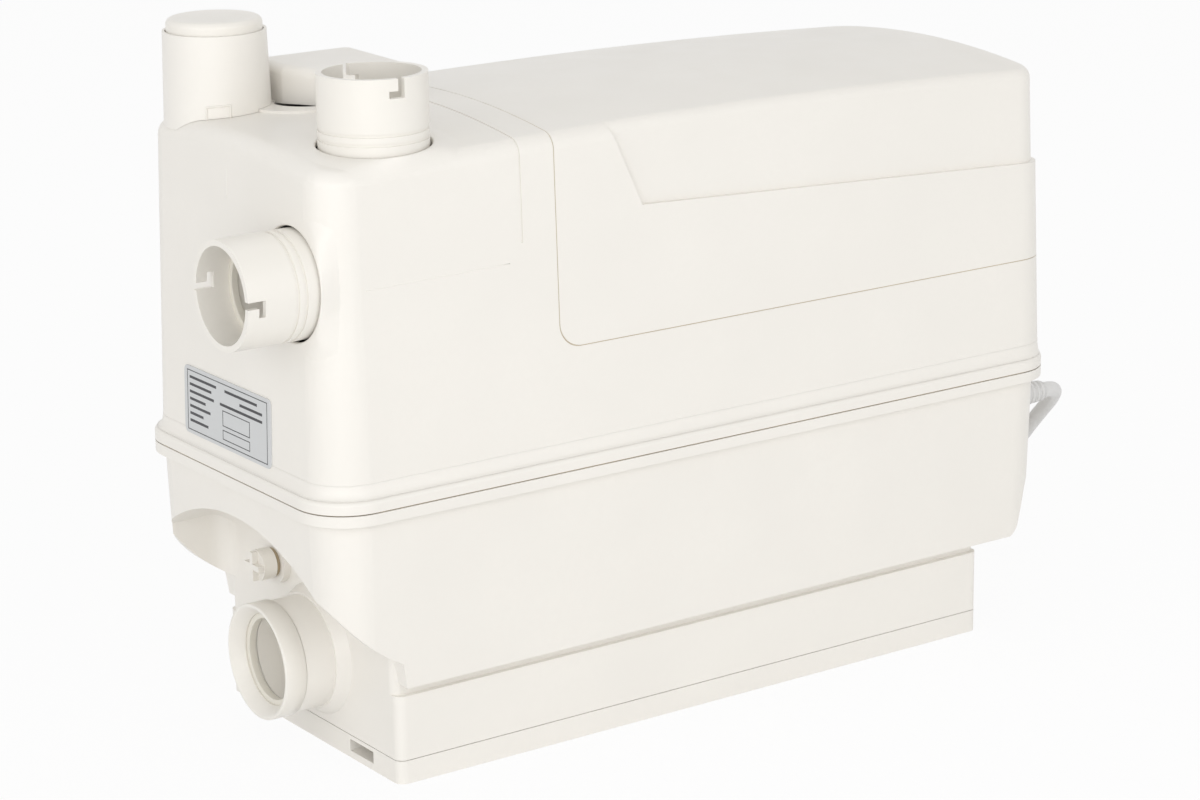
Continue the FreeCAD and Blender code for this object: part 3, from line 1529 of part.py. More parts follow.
def build_controls():
    """The level switch on its bell, the micro switch that it works, the capacitor and control box."""
    seat = "plate_level + plate_thickness + seat_gap"
    x = "switch_x"
    y = "switch_y"
    bell_height = "plate_level - seat_gap - bell_foot"
    bell = cylinder("bell_outer", "bell_radius", bell_height, x, y, "bell_foot")
    neck = cylinder("bell_neck", "bell_radius / 2", f"{seat} + 3 - bell_foot - 20", x, y, "bell_foot + 20")
    hollow = cylinder("bell_hollow", "bell_radius - 2", f"{bell_height} - 3", x, y, "bell_foot")
    neck_bore = cylinder("bell_neck_bore", "bell_radius / 2 - 2", "90", x, y, "bell_foot + 20")
    piece(cut("pressure_bell", join("bell_body", bell, neck), hollow, neck_bore), "pressure_bell")
    drum = cylinder("switch_drum", "switch_radius", "switch_height", x, y, seat)
    socket = cylinder("switch_socket", "bell_radius / 2 + 0.1", "3 + seat_gap", x, y, seat)
    chamber = cylinder("switch_chamber", "switch_radius - 3", "switch_height - 9", x, y, f"{seat} + 6")
    link = cylinder("switch_link", "bell_radius / 2 - 2", "switch_height - 6", x, y, seat)
    way = cylinder("plunger_way", "plunger_radius + flap_pin_clearance", "30", x, y, f"{seat} + 6")
    piece(cut("switch_body", drum, socket, chamber, link, way), "switch_body")
    disc_top = f"({seat} + switch_height - 3 - plunger_travel - seat_gap)"
    disc = cylinder("plunger_disc", "switch_radius - 5", "2", x, y, f"{disc_top} - 2")
    stem = cylinder("plunger_stem", "plunger_radius", "7", x, y, f"{disc_top} - 1")
    piece(join("switch_plunger", disc, stem), "switch_plunger")
    body_foot = f"({disc_top} + 6 + plunger_travel + seat_gap)"
    front = f"{y} - micro_width / 2"
    micro_size = ("micro_length", "micro_width", "micro_height")
    body = block("micro_body", *micro_size, f"{x} - micro_length / 2", front, body_foot)
    legs = []
    leg_foot = f"{seat} + switch_height + 0.05"
    leg_height = f"{body_foot} + micro_height / 2 - ({leg_foot})"
    for leg_x in (f"{x} - micro_length / 2", f"{x} + micro_length / 2 - micro_leg"):
        legs.append(block("micro_leg", "micro_leg", "micro_width", leg_height, leg_x, front, leg_foot))
    piece(join("micro_switch", body, *legs), "micro_switch")
    spot = ("capacitor_x", "capacitor_y")
    can = cylinder("capacitor_can", "capacitor_radius", "capacitor_height", *spot, seat)
    crown = cylinder("capacitor_crown", "capacitor_radius - 3", "4", *spot, f"{seat} + capacitor_height")
    piece(join("capacitor", can, crown), "capacitor")
    case = block("case", "control_length", "control_width", "control_height", "control_x", "control_y", seat)
    room = block(
        "case_room",
        "control_length - 2 * wall",
        "control_width - 2 * wall",
        "control_height",
        "control_x + wall",
        "control_y + wall",
        f"{seat} + wall",
    )
    piece(cut("control_box", case, room), "control_box")
    lid = block(
        "control_lid",
        "control_length",
        "control_width",
        "wall",
        "control_x",
        "control_y",
        f"{seat} + control_height + seat_gap",
    )
    piece(lid, "control_lid")
    board = block(
        "board",
        "board_thickness",
        "control_width - 2 * wall - 2 * board_margin",
        "control_height - board_headroom",
        "control_x + wall + seat_gap",
        "control_y + wall + board_margin",
        f"{seat} + wall + seat_gap",
    )
    board_face = "control_x + wall + seat_gap + board_thickness - 0.5"
    relay_size = ("relay_length", "relay_width", "relay_height")
    relay = block("relay", *relay_size, board_face, "control_y + relay_place", f"{seat} + relay_level")
    choke_spot = (board_face, "control_y + choke_place", f"{seat} + choke_level")
    choke = cylinder("choke", "choke_radius", "choke_length", *choke_spot, "X")
    piece(join("control_board", board, relay, choke), "control_board")


def build_label():
    """The rating plate, laid on the drafted end wall."""
    lean = math.tan(math.radians(size.housing_draft))
    level = size.label_level
    wall_x = size.housing_inset + lean * (level - size.rim_level - size.gasket_thickness / 2)
    body = doc.addObject("PartDesign::Body", "rating_plate")
    outline = sketch_on(body, "XY_Plane", "label_outline")
    sketch_rounded_rectangle(outline, "label_length", "label_height", "label_corner")
    pad(body, outline, "label_thickness", "label_pad")
    facing = Rotation(Vector(0, 1, 0), size.housing_draft)
    across = Rotation(Vector(0, -1, 0), Vector(0, 0, 1), Vector(-1, 0, 0), "XYZ")
    spot = Vector(wall_x - 0.02, size.label_y, level) - middle
    body.Placement = Placement(spot, facing.multiply(across))
    piece(body, "rating_plate")


def route_wire(points, radii):
    """Straight runs joined by tangent arcs, each as large as its two runs allow."""
    edges = []
    here = points[0]
    for before, corner, after in zip(points, points[1:], points[2:]):
        inward = (corner - before).normalize()
        outward = (after - corner).normalize()
        turn = inward.getAngle(outward)
        reach = 0.45 * min((corner - before).Length, (after - corner).Length)
        radius = reach / math.tan(turn / 2)
        radii.append(radius)
        start = corner - inward * reach
        end = corner + outward * reach
        bisector = (outward - inward).normalize()
        centre_gap = radius / math.cos(turn / 2)
        via = corner + bisector * (centre_gap - radius)
        edges.append(Part.LineSegment(here, start).toShape())
        edges.append(Part.Arc(start, via, end).toShape())
        here = end
    edges.append(Part.LineSegment(here, points[-1]).toShape())
    return Part.Wire(edges)


def sweep_lead(wire, start, direction):
    """A round lead along a wire, with its volume set against section times length."""
    circle = Part.Circle(start, direction, size.lead_radius)
    solid = wire.makePipeShell([Part.Wire(circle.toShape())], True, False)
    expected = math.pi * size.lead_radius**2 * wire.Length
    print(f"lead stretch {wire.Length:.0f} mm, volume ratio {solid.Volume / expected:.4f}")
    return solid


def coil_spot(turns):
    """A point of the coil's centre line and its direction, after a number of turns."""
    half = size.coil_turns / 2
    inward = min(turns, size.coil_turns - turns)
    level = min(max(2 * (turns - half) + 0.5, 0), 1)
    smooth = level * level * (3 - 2 * level)
    radius = size.coil_radius - size.coil_pitch * inward
    angle = math.radians(270) - 2 * math.pi * turns
    spot = Vector(
        LEAD_END.x + radius * math.cos(angle),
        LEAD_END.y + size.coil_radius + radius * math.sin(angle),
        size.lead_radius + size.coil_pitch * smooth,
    )
    return spot


def coil_direction(turns):
    small = 1e-4
    low = max(turns - small, 0)
    high = min(turns + small, size.coil_turns)
    return (coil_spot(high) - coil_spot(low)).normalize()


def arc_from(start, direction, end):
    """The arc that leaves start along a direction and ends at a point."""
    chord = end - start
    along = chord.Length
    unit = chord * (1 / along)
    side = direction - unit * direction.dot(unit)
    half_angle = direction.getAngle(unit)
    sagitta = along / 2 * math.tan(half_angle / 2)
    return Part.Arc(start, start + chord * 0.5 + side.normalize() * sagitta, end).toShape()


def biarc(start, start_way, end, end_way):
    """Two arcs that join two points and keep the directions at both."""
    span = end - start
    along = span.dot(start_way + end_way)
    bend = 2 * (1 - start_way.dot(end_way))
    reach = (math.sqrt(along**2 + bend * span.dot(span)) - along) / bend
    joint = (start + end + (start_way - end_way) * reach) * 0.5
    first = arc_from(start, start_way, joint)
    joint_way = (joint - (start + start_way * reach)).normalize()
    return [first, arc_from(joint, joint_way, end)]


# Where the lead runs: from the gland down to the floor and round behind the unit to its coil.
LEAD_ROUTE = [
    (381, 38, 94),
    (400, 38, 94),
    (416, 44, 89),
    (427, 57, 78),
    (431, 74, 61),
    (430, 91, 42),
    (428, 109, 23),
    (425, 128, 9.5),
    (420, 146, 4.4),
    (410, 162, 3.6),
    (391, 177, 3.5),
    (366, 188, 3.5),
    (333, 194, 3.5),
    (300, 194, 3.5),
]
LEAD_END = Vector(*LEAD_ROUTE[-1])


def build_lead():
    """The gland, the lead's free stretch, its coil, the short tail and the plug."""
    wall_x = "flange_length - flange_overhang"
    body = cylinder("gland_body", "gland_radius", "gland_reach + 5", wall_x, "lead_y", "lead_level", "X")
    stem = cylinder("gland_stem", "gland_radius - 1.2", "10", f"{wall_x} - 6", "lead_y", "lead_level", "X")
    bore = cylinder("gland_bore", "lead_radius + 0.05", "40", f"{wall_x} - 20", "lead_y", "lead_level", "X")
    piece(cut("cable_gland", join("gland_outside", body, stem), bore), "cable_gland")
    radii = []
    points = [Vector(*spot) for spot in LEAD_ROUTE]
    wire = route_wire(points, radii)
    lead = sweep_lead(wire, points[0], points[1] - points[0])
    piece(feature("mains_lead", lead), "mains_lead")
    print("lead radii", " ".join(f"{radius:.0f}" for radius in radii))
    edges = []
    quarters = int(size.coil_turns * 4)
    for number in range(quarters):
        first = number / 4
        last = (number + 1) / 4
        edges += biarc(coil_spot(first), coil_direction(first), coil_spot(last), coil_direction(last))
    coil_wire = Part.Wire(edges)
    coil = sweep_lead(coil_wire, coil_spot(0), coil_direction(0))
    piece(feature("lead_coil", coil), "lead_coil")
    measure_coil_gap()
    tail_points = tail_route()
    tail_radii = []
    tail_wire = route_wire(tail_points, tail_radii)
    tail = sweep_lead(tail_wire, tail_points[0], tail_points[1] - tail_points[0])
    piece(feature("lead_tail", tail), "lead_tail")
    print("tail radii", " ".join(f"{radius:.0f}" for radius in tail_radii))
    print(f"lead in all {wire.Length + coil_wire.Length + tail_wire.Length:.0f} mm")
    build_plug(tail_points[-1])


def tail_route():
    """From the coil's end up to the height of the plug, which lies beside the coil."""
    start = coil_spot(size.coil_turns)
    rise = size.plug_radius - start.z
    return [
        start,
        start + Vector(-24, 0.5, 0),
        start + Vector(-48, 1.5, rise * 0.35),
        start + Vector(-72, 2, rise),
        start + Vector(-96, 2, rise),
    ]


def measure_coil_gap():
    """The least gap between the coil's own turns, on points a half turn or more apart."""
    steps = 64
    spots = [coil_spot(number / steps) for number in range(int(size.coil_turns * steps) + 1)]
    least = 1e9
    for number, spot in enumerate(spots):
        for other in spots[number + steps // 2 :]:
            least = min(least, (spot - other).Length)
    print(f"least gap in the coil {least - 2 * size.lead_radius:.2f} mm")


def build_plug(end):
    """An earthed two-pin plug, lying where the tail ends."""
    start = f"{end.x:.3f}"
    y = f"{end.y:.3f}"
    z = f"{end.z:.3f}"
    relief = cone("plug_relief", "lead_radius + 1.2", "lead_radius + 4", "14", start, y, z, "-X")
    body = cylinder("plug_barrel", "plug_radius - 0.1", "plug_length - 14", f"{start} - 14", y, z, "-X")
    face = cylinder("plug_nose", "plug_radius - 3", "5", f"{start} - plug_length", y, z, "-X")
    holes = []
    pins = []
    for side in ("-", "+"):
        pin_y = f"{y} {side} pin_spacing / 2"
        pin_root = f"{start} - plug_length + 4"
        holes.append(cylinder("pin_hole", "pin_radius", "12", pin_root, pin_y, z, "-X"))
        pins.append(cylinder("pin", "pin_radius", "pin_length + 9", pin_root, pin_y, z, "-X"))
    piece(cut("plug_body", join("plug_outside", relief, body, face), *holes), "plug_body")
    piece(group("plug_pins", *pins), "plug_pins")


def check_and_write():
    """Stop on any failed object or broken shape, then write each sub-part."""
    doc.recompute()
    for item in doc.Objects:
        if "Invalid" in item.State or "Error" in item.State:
            raise RuntimeError(f"{item.Label} failed: {item.State}")
    os.makedirs("parts", exist_ok=True)
    for item in pieces:
        shape = item.Shape
        if shape.isNull() or not shape.isValid() or not shape.Solids:
            raise RuntimeError(f"{item.Label} has no sound shape")
        shape.exportStep(f"parts/{item.Label}.step")
        box = shape.BoundBox
        reach = f"x {box.XMin:.1f}..{box.XMax:.1f} y {box.YMin:.1f}..{box.YMax:.1f}"
        solids = f"{len(shape.Solids)} solids, {shape.Volume / 1000:.1f} cm3"
        print(f"{item.Label}: {solids}, {reach} z {box.ZMin:.1f}..{box.ZMax:.1f}")
    print(f"{len(pieces)} sub-parts written")


build_shells()
build_base()
build_inlets()
build_low_inlet()
build_drain()
build_vent()
build_plate()
build_motor()
build_rotor()
build_pump()
build_discharge()
build_controls()
build_label()
build_lead()
check_and_write()
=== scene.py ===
"""The looks of a small waste water lifting unit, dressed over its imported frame."""

import json
import logging
import math
from collections.abc import Sequence
from dataclasses import dataclass, field
from enum import Enum

import bmesh
import bpy
from mathutils import Matrix, Vector
from mathutils.bvhtree import BVHTree


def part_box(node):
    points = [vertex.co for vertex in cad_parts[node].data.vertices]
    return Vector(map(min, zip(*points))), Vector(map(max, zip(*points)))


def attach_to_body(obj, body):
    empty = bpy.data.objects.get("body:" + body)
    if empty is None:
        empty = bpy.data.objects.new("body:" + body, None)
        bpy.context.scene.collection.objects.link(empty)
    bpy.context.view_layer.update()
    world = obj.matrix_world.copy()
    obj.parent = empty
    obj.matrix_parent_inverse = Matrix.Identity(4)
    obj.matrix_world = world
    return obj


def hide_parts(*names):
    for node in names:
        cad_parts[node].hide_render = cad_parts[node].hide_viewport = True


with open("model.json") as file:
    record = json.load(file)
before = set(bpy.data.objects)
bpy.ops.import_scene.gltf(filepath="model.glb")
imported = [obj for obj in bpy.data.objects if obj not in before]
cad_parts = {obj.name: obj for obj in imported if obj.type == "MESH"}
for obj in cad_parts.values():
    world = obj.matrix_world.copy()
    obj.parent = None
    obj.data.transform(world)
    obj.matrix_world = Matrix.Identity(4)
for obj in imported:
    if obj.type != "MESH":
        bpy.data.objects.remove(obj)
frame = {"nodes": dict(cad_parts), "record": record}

log = logging.getLogger("lifting_unit")

Colour = tuple[float, float, float]
Point = tuple[float, float, float]
Profile = Sequence[tuple[float, float]]
Bar = tuple[float, float, float, float]
Socket = bpy.types.NodeSocket

MM = 0.001
TANK_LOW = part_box("tank")[0]
WHITE: Colour = (1.0, 1.0, 1.0)
# How wide the clouds, specks and waves of every finish are, in metres.
CLOUD_SIZE = 0.045
SPECK_SIZE = 0.0025
GLOSS_SIZE = 0.02
WAVE_SIZE = 0.11
# How strong they are, as shares.
SPECK_SHARE = 0.45
GLOSS_SPREAD = 0.05
GRAIN_STRENGTH = 0.6
COAT_ROUGHNESS = 0.12
# The pointiness at which a corner counts as creased, fully and no more, for the painted shade in inner
# corners.
CREASE_SHADE_RANGE = (0.40, 0.485)
# How a drawn surface's grain is stretched, and how many bands a wave texture lays on a metre at scale 1.
DRAWN_STRETCH = (1.0, 1.0, 0.05)
WAVE_SCALE = 0.31


def at(x: float, y: float, z: float) -> Vector:
    """Turn millimetres from the rim's near corner at the inlet end into the frame's metres.

    Args:
        x: Along the unit, from its inlet end.
        y: Across the unit, from its near side.
        z: Above the floor.

    Returns:
        The point in the frame.
    """
    return Vector((TANK_LOW.x + x * MM, TANK_LOW.y + y * MM, z * MM))


class Body(Enum):
    """The bodies that the pieces ride on."""

    UNIT = "unit"
    LOW_FLAP = "low_flap"


class Pattern(Enum):
    """The fine relief that a finish can carry."""

    GRAIN = "grain"
    TURNED = "turned"
    STACKED = "stacked"
    PITTED = "pitted"
    DRAWN = "drawn"


def set_numbers(node: bpy.types.Node, values: dict[str, float]) -> None:
    """Set numbers that are the same all over on a node's own sockets.

    Args:
        node: The node.
        values: The sockets' names, with underscores for spaces, and their numbers.
    """
    for name, value in values.items():
        node.inputs[name.replace("_", " ").title()].default_value = value


class Painter:
    """Builds one procedural material, node by node."""

    def __init__(self, name: str) -> None:
        """Start a material with one plain shader.

        Args:
            name: The material's name.
        """
        self.material = bpy.data.materials.new(name)
        self.material.use_nodes = True
        self.tree = self.material.node_tree
        self.shader = self.tree.nodes["Principled BSDF"]
        self.place = self.tree.nodes.new("ShaderNodeTexCoord").outputs["Object"]

    def link(self, source: Socket, target: Socket) -> None:
        """Join two sockets."""
        self.tree.links.new(source, target)

    def add(self, kind: str, **values: float) -> bpy.types.Node:
        """Add a node.

        Args:
            kind: What kind of node.
            values: The names and numbers of its sockets.

        Returns:
            The node.
        """
        node = self.tree.nodes.new(f"ShaderNode{kind}")
        set_numbers(node, values)
        return node

    def stretched(self, scale: Point) -> Socket:
        """Return the object's coordinates, stretched by a factor along each axis.

        Args:
            scale: The three factors.

        Returns:
            The socket that gives the stretched coordinates.
        """
        mapping = self.add("Mapping")
        mapping.inputs["Scale"].default_value = scale
        self.link(self.place, mapping.inputs["Vector"])
        return mapping.outputs["Vector"]

    def noise(self, size: float, detail: float, where: Socket | None = None) -> Socket:
        """Add a noise.

        Args:
            size: How wide its spots are, in metres.
            detail: How many finer layers it holds.
            where: The coordinates it follows, or none for the object's own.

        Returns:
            The socket of its value.
        """
        node = self.add("TexNoise", scale=1.0 / size, detail=detail)
        self.link(where or self.place, node.inputs["Vector"])
        return node.outputs["Fac"]

    def cells(self, size: float) -> Socket:
        """Add a cell pattern.

        Args:
            size: How wide its cells are, in metres.

        Returns:
            The socket of the distance from each cell's middle.
        """
        node = self.add("TexVoronoi", scale=1.0 / size)
        self.link(self.place, node.inputs["Vector"])
        return node.outputs["Distance"]

    def bands(self, size: float, distortion: float) -> Socket:
        """Add even bands, one above the other.

        Args:
            size: How wide one band is, in metres.
            distortion: How uneven they are.

        Returns:
            The socket of their value.
        """
        node = self.add("TexWave", scale=WAVE_SCALE / size, distortion=distortion, detail_scale=4.0)
        node.bands_direction = "Z"
        self.link(self.place, node.inputs["Vector"])
        return node.outputs["Fac"]

    def span(self, source: Socket, low: float, high: float, start: float = 0.3, end: float = 0.7) -> Socket:
        """Bring a value from one range into another.

        Args:
            source: The value.
            low: What the range's start becomes.
            high: What its end becomes.
            start: Where the value's range starts.
            end: Where it ends.

        Returns:
            The socket of the new value.
        """
        node = self.add("MapRange", from_min=start, from_max=end, to_min=low, to_max=high)
        self.link(source, node.inputs["Value"])
        return node.outputs["Result"]

    def blend(self, factor: Socket, first: Colour | Socket, second: Colour | Socket) -> Socket:
        """Mix two colours.

        Args:
            factor: The share of the second colour.
            first: A colour, or the socket of one.
            second: A colour, or the socket of one.

        Returns:
            The socket of the mixed colour.
        """
        node = self.add("Mix")
        node.data_type = "RGBA"
        self.link(factor, node.inputs["Factor"])
        for socket, colour in ((node.inputs[6], first), (node.inputs[7], second)):
            if isinstance(colour, bpy.types.NodeSocket):
                self.link(colour, socket)
            else:
                socket.default_value = (*colour, 1.0)
        return node.outputs[2]

    def crease_shade_mask(self) -> Socket:
        """Give 1 in inner corners and 0 on open surfaces: the mask of the painted shade in inner corners."""
        return self.span(self.add("NewGeometry").outputs["Pointiness"], 1.0, 0.0, *CREASE_SHADE_RANGE)

    def relief(self, *layers: tuple[Socket, float, float]) -> None:
        """Stack bumps on the shader's normal.

        Args:
            layers: The value, strength and height in metres of each bump.
        """
        before = None
        for value, strength, height in layers:
            node = self.add("Bump", strength=strength, distance=height)
            self.link(value, node.inputs["Height"])
            if before is not None:
                self.link(before, node.inputs["Normal"])
            before = node.outputs["Normal"]
        self.link(before, self.shader.inputs["Normal"])


def lit(colour: Colour, factor: float) -> Colour:
    """Return a colour made lighter or darker by a factor."""
    return tuple(min(1.0, channel * factor) for channel in colour)


@dataclass(frozen=True)
class Finish:
    """A finish, and how far its colour, gloss and relief vary over a piece."""

    name: str
    colour: Colour
    roughness: float
    metallic: float = 0.0
    pattern: Pattern = Pattern.GRAIN
    variation: float = 0.03
    # The colour of the painted shade in inner corners, or none for no painted shade.
    crease_shade: Colour | None = None
    grain_size: float = 0.0006
    grain_height: float = 0.00002
    wave_height: float = 0.0
    coat: float = 0.0

    def material(self) -> bpy.types.Material:
        """Return this finish's material, made once."""
        known = bpy.data.materials.get(self.name)
        if known is not None:
            return known
        paint = Painter(self.name)
        self.colour_in(paint)
        self.gloss_in(paint)
        self.relief_in(paint)
        return paint.material

    def colour_in(self, paint: Painter) -> None:
        """Paint the colour: soft clouds, finer specks and painted shade that darkens the inner corners.

        Args:
            paint: The painter of the material.
        """
        dark = lit(self.colour, 1.0 - self.variation)
        pale = lit(self.colour, 1.0 + self.variation * 0.4)
        clouds = paint.span(paint.noise(CLOUD_SIZE, 2.0), 0.0, 1.0)
        specks = paint.span(paint.noise(SPECK_SIZE, 4.0), 0.0, SPECK_SHARE)
        shade = paint.blend(clouds, dark, pale)
        shade = paint.blend(specks, shade, dark)
        # Painted shade: inner corners are darkened towards the shade colour, in place of the shade that falls
        # there.
        if self.crease_shade is not None:
            shade = paint.blend(paint.crease_shade_mask(), shade, self.crease_shade)
        paint.link(shade, paint.shader.inputs["Base Color"])

    def gloss_in(self, paint: Painter) -> None:
        """Set how the surface shines.

        Args:
            paint: The painter of the material.
        """
        low, high = self.roughness - GLOSS_SPREAD, self.roughness + GLOSS_SPREAD
        spread = paint.span(paint.noise(GLOSS_SIZE, 3.0), low, high)
        paint.link(spread, paint.shader.inputs["Roughness"])
        numbers = {"metallic": self.metallic}
        if self.coat > 0.0:
            numbers |= {"coat_weight": self.coat, "coat_roughness": COAT_ROUGHNESS}
        set_numbers(paint.shader, numbers)

    def relief_in(self, paint: Painter) -> None:
        """Give the surface its fine relief.

        Args:
            paint: The painter of the material.
        """
        makers = {
            Pattern.GRAIN: lambda: paint.noise(self.grain_size, 4.0),
            Pattern.TURNED: lambda: paint.bands(self.grain_size, 1.5),
            Pattern.STACKED: lambda: paint.bands(self.grain_size, 0.0),
            Pattern.PITTED: lambda: paint.cells(self.grain_size),
            Pattern.DRAWN: lambda: paint.noise(self.grain_size, 2.0, paint.stretched(DRAWN_STRETCH)),
        }
        layers = []
        if self.wave_height > 0.0:
            layers.append((paint.noise(WAVE_SIZE, 1.0), 1.0, self.wave_height))
        layers.append((makers[self.pattern](), GRAIN_STRENGTH, self.grain_height))
        paint.relief(*layers)


CREAM = Finish(
    "cream_housing",
    (0.875, 0.848, 0.798),
    0.36,
    variation=0.018,
    # The colour of the painted shade in inner corners.
    crease_shade=(0.60, 0.56, 0.47),
    grain_height=0.000012,
    wave_height=0.0006,
)
CREAM_FITTING = Finish(
    "cream_fitting",
    (0.872, 0.844, 0.788),
    0.33,
    variation=0.02,
    # The colour of the painted shade in inner corners.
    crease_shade=(0.62, 0.57, 0.48),
    grain_size=0.0008,
    grain_height=0.00001,
)
INNER = Finish("inner_plastic", (0.26, 0.27, 0.28), 0.45, variation=0.06, grain_height=0.00002)
DARK = Finish("dark_plastic", (0.012, 0.012, 0.014), 0.4, variation=0.2)
RUBBER = Finish("seal_rubber", (0.012, 0.012, 0.012), 0.62, variation=0.3, grain_height=0.00003)
CAST = Finish("cast_housing", (0.52, 0.53, 0.54), 0.48, 1.0, Pattern.GRAIN, 0.12, None, 0.0012, 0.00012)
TURNED = Finish("turned_steel", (0.55, 0.55, 0.56), 0.26, 1.0, Pattern.TURNED, 0.08, None, 0.0004, 0.00002)
SHEET_PACK = Finish("sheet_pack", (0.20, 0.20, 0.21), 0.42, 1.0, Pattern.STACKED, 0.2, None, 0.0005, 0.00008)
COPPER = Finish(
    "varnished_copper", (0.62, 0.26, 0.11), 0.28, 1.0, Pattern.DRAWN, 0.15, None, 0.001, 0.00002, coat=0.7
)
DRAWN_CAN = Finish("drawn_can", (0.60, 0.61, 0.62), 0.30, 1.0, Pattern.DRAWN, 0.06, None, 0.0007, 0.00002)
LACQUER = Finish(
    "green_lacquer", (0.012, 0.09, 0.035), 0.3, 0.0, Pattern.PITTED, 0.3, None, 0.004, 0.00004, coat=0.5
)
FOAM = Finish("open_foam", (0.014, 0.014, 0.015), 0.9, 0.0, Pattern.PITTED, 0.4, None, 0.0018, 0.0008)
FILM = Finish("plate_film", (0.355, 0.368, 0.380), 0.34, 0.0, Pattern.GRAIN, 0.04, None, 0.0005, 0.000008)
SHEATH = Finish("grey_sheath", (0.76, 0.755, 0.745), 0.42, 0.0, Pattern.GRAIN, 0.04, None, 0.0009, 0.00002)
BRASS = Finish("pin_brass", (0.70, 0.52, 0.22), 0.24, 1.0, Pattern.TURNED, 0.06, None, 0.0006, 0.00001)
PALE_SEAL = Finish("pale_seal", (0.80, 0.77, 0.69), 0.5, variation=0.03, grain_height=0.00002)
# The seam lip's tan is painted shade of the groove between housing and cover; the lip stands for the real lap
# under the seam.
PAINTED_SEAM_SHADE = Finish("painted_seam_shade", (0.60, 0.52, 0.39), 0.6, variation=0.12, grain_height=0.00002)
RIM_SEAL = Finish("rim_seal", (0.47, 0.38, 0.25), 0.6, variation=0.2, grain_height=0.00002)
PRINT = Finish("plate_print", (0.035, 0.035, 0.04), 0.4, variation=0.2, grain_height=0.00001)

SLOT_FINISHES: dict[str, Finish] = {
    "housing_plastic": CREAM,
    "fitting_plastic": CREAM_FITTING,
    "inner_plastic": INNER,
    "dark_plastic": DARK,
    "seal_rubber": RUBBER,
    "cast_metal": CAST,
    "turned_steel": TURNED,
    "core_steel": SHEET_PACK,
    "copper_winding": COPPER,
    "can_metal": DRAWN_CAN,
    "board": LACQUER,
    "filter_foam": FOAM,
    "plate_film": FILM,
    "lead_plastic": SHEATH,
    "pin_brass": BRASS,
}

NODE_FINISHES: dict[str, Finish] = {
    "rim_gasket": RIM_SEAL,
    "top_socket_seal": PALE_SEAL,
    "side_socket_seal": PALE_SEAL,
    "low_socket_seal": PALE_SEAL,
    "low_inlet_flap": PALE_SEAL,
    "drain_seal": RIM_SEAL,
}


@dataclass(frozen=True)
class SoftEdges:
    """Rounds the edges of a node of the frame, as a mould or a cutter leaves them."""

    width: float
    segments: int = 3
    angle: float = 32.0

    def round(self, node: bpy.types.Object) -> None:
        """Add the rounding to a node, which keeps its own mesh.

        Args:
            node: The node.
        """
        weld = node.modifiers.new("weld", "WELD")
        weld.merge_threshold = 0.00002
        bevel = node.modifiers.new("soft_edges", "BEVEL")
        bevel.width = self.width
        bevel.segments = self.segments
        bevel.limit_method = "ANGLE"
        bevel.angle_limit = math.radians(self.angle)
        bevel.harden_normals = False
        normals = node.modifiers.new("even_normals", "WEIGHTED_NORMAL")
        normals.keep_sharp = True


@dataclass
class FrameNodes:
    """The nodes of the frame that are shown as they are, with a finish and rounded edges."""

    plain_width: float = 0.0004
    widths: dict[str, float] = field(
        default_factory=lambda: {
            "tank": 0.0009,
            "upper_housing": 0.0005,
            "motor_cover": 0.0004,
            "valve_cover": 0.0008,
            "base_frame": 0.0007,
            "top_inlet_socket": 0.0004,
            "side_inlet_socket": 0.0004,
            "vent_sleeve": 0.0004,
            "drain_plug": 0.0006,
            "rating_plate": 0.0002,
        }
    )

    def dress(self) -> None:
        """Give every node its finish and its edges."""
        slots = {entry["node"]: entry["material_slot"] for entry in frame["record"]["subparts"]}
        for name, node in frame["nodes"].items():
            finish = NODE_FINISHES.get(name, SLOT_FINISHES[slots[name]])
            node.data.materials.clear()
            node.data.materials.append(finish.material())
            SoftEdges(self.widths.get(name, self.plain_width)).round(node)
            log.info("node %s in %s", name, finish.name)


def add_mesh(name: str, mesh: bmesh.types.BMesh, finish: Finish, smooth: bool = True) -> bpy.types.Object:
    """Turn a worked mesh into an object with a finish.

    Args:
        name: The piece's name.
        mesh: The mesh, which is freed.
        finish: Its finish.
        smooth: Whether its faces shade smoothly.

    Returns:
        The new object.
    """
    data = bpy.data.meshes.new(name)
    mesh.to_mesh(data)
    mesh.free()
    for face in data.polygons:
        face.use_smooth = smooth
    data.materials.append(finish.material())
    piece = bpy.data.objects.new(name, data)
    bpy.context.scene.collection.objects.link(piece)
    return piece


def attach(piece: bpy.types.Object, body: Body = Body.UNIT) -> bpy.types.Object:
    """Let a piece ride on a body and report it.

    Args:
        piece: The piece.
        body: The body that carries it.

    Returns:
        The piece.
    """
    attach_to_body(piece, body.value)
    log.info("piece %s on %s", piece.name, body.value)
    return piece


def add_rings(
    mesh: bmesh.types.BMesh, rows: Sequence[Sequence[Vector]], closed: bool = False
) -> list[list[bmesh.types.BMVert]]:
    """Add rows of points that each run once round a form, and the faces between them.

    Args:
        mesh: The mesh that gets them.
        rows: The rows, all of one length.
        closed: Whether the last row joins the first.

    Returns:
        The rows' vertices.
    """
    rings = [[mesh.verts.new(point) for point in row] for row in rows]
    pairs = list(zip(rings, rings[1:]))
    if closed:
        pairs.append((rings[-1], rings[0]))
    for first, second in pairs:
        for number in range(len(first)):
            after = (number + 1) % len(first)
            mesh.faces.new((first[number], first[after], second[after], second[number]))
    return rings


def bridge(
    mesh: bmesh.types.BMesh, rows: Sequence[Sequence[Vector]], closed: bool = False, capped: bool = True
) -> None:
    """Skin rows of points that each run once round a form.

    Args:
        mesh: The mesh that gets the faces.
        rows: The rows, all of one length.
        closed: Whether the last row joins the first.
        capped: Whether the ends get caps where it doesn't.
    """
    rings = add_rings(mesh, rows, closed)
    if capped and not closed:
        mesh.faces.new(list(reversed(rings[0])))
        mesh.faces.new(rings[-1])
    bmesh.ops.recalc_face_normals(mesh, faces=mesh.faces)


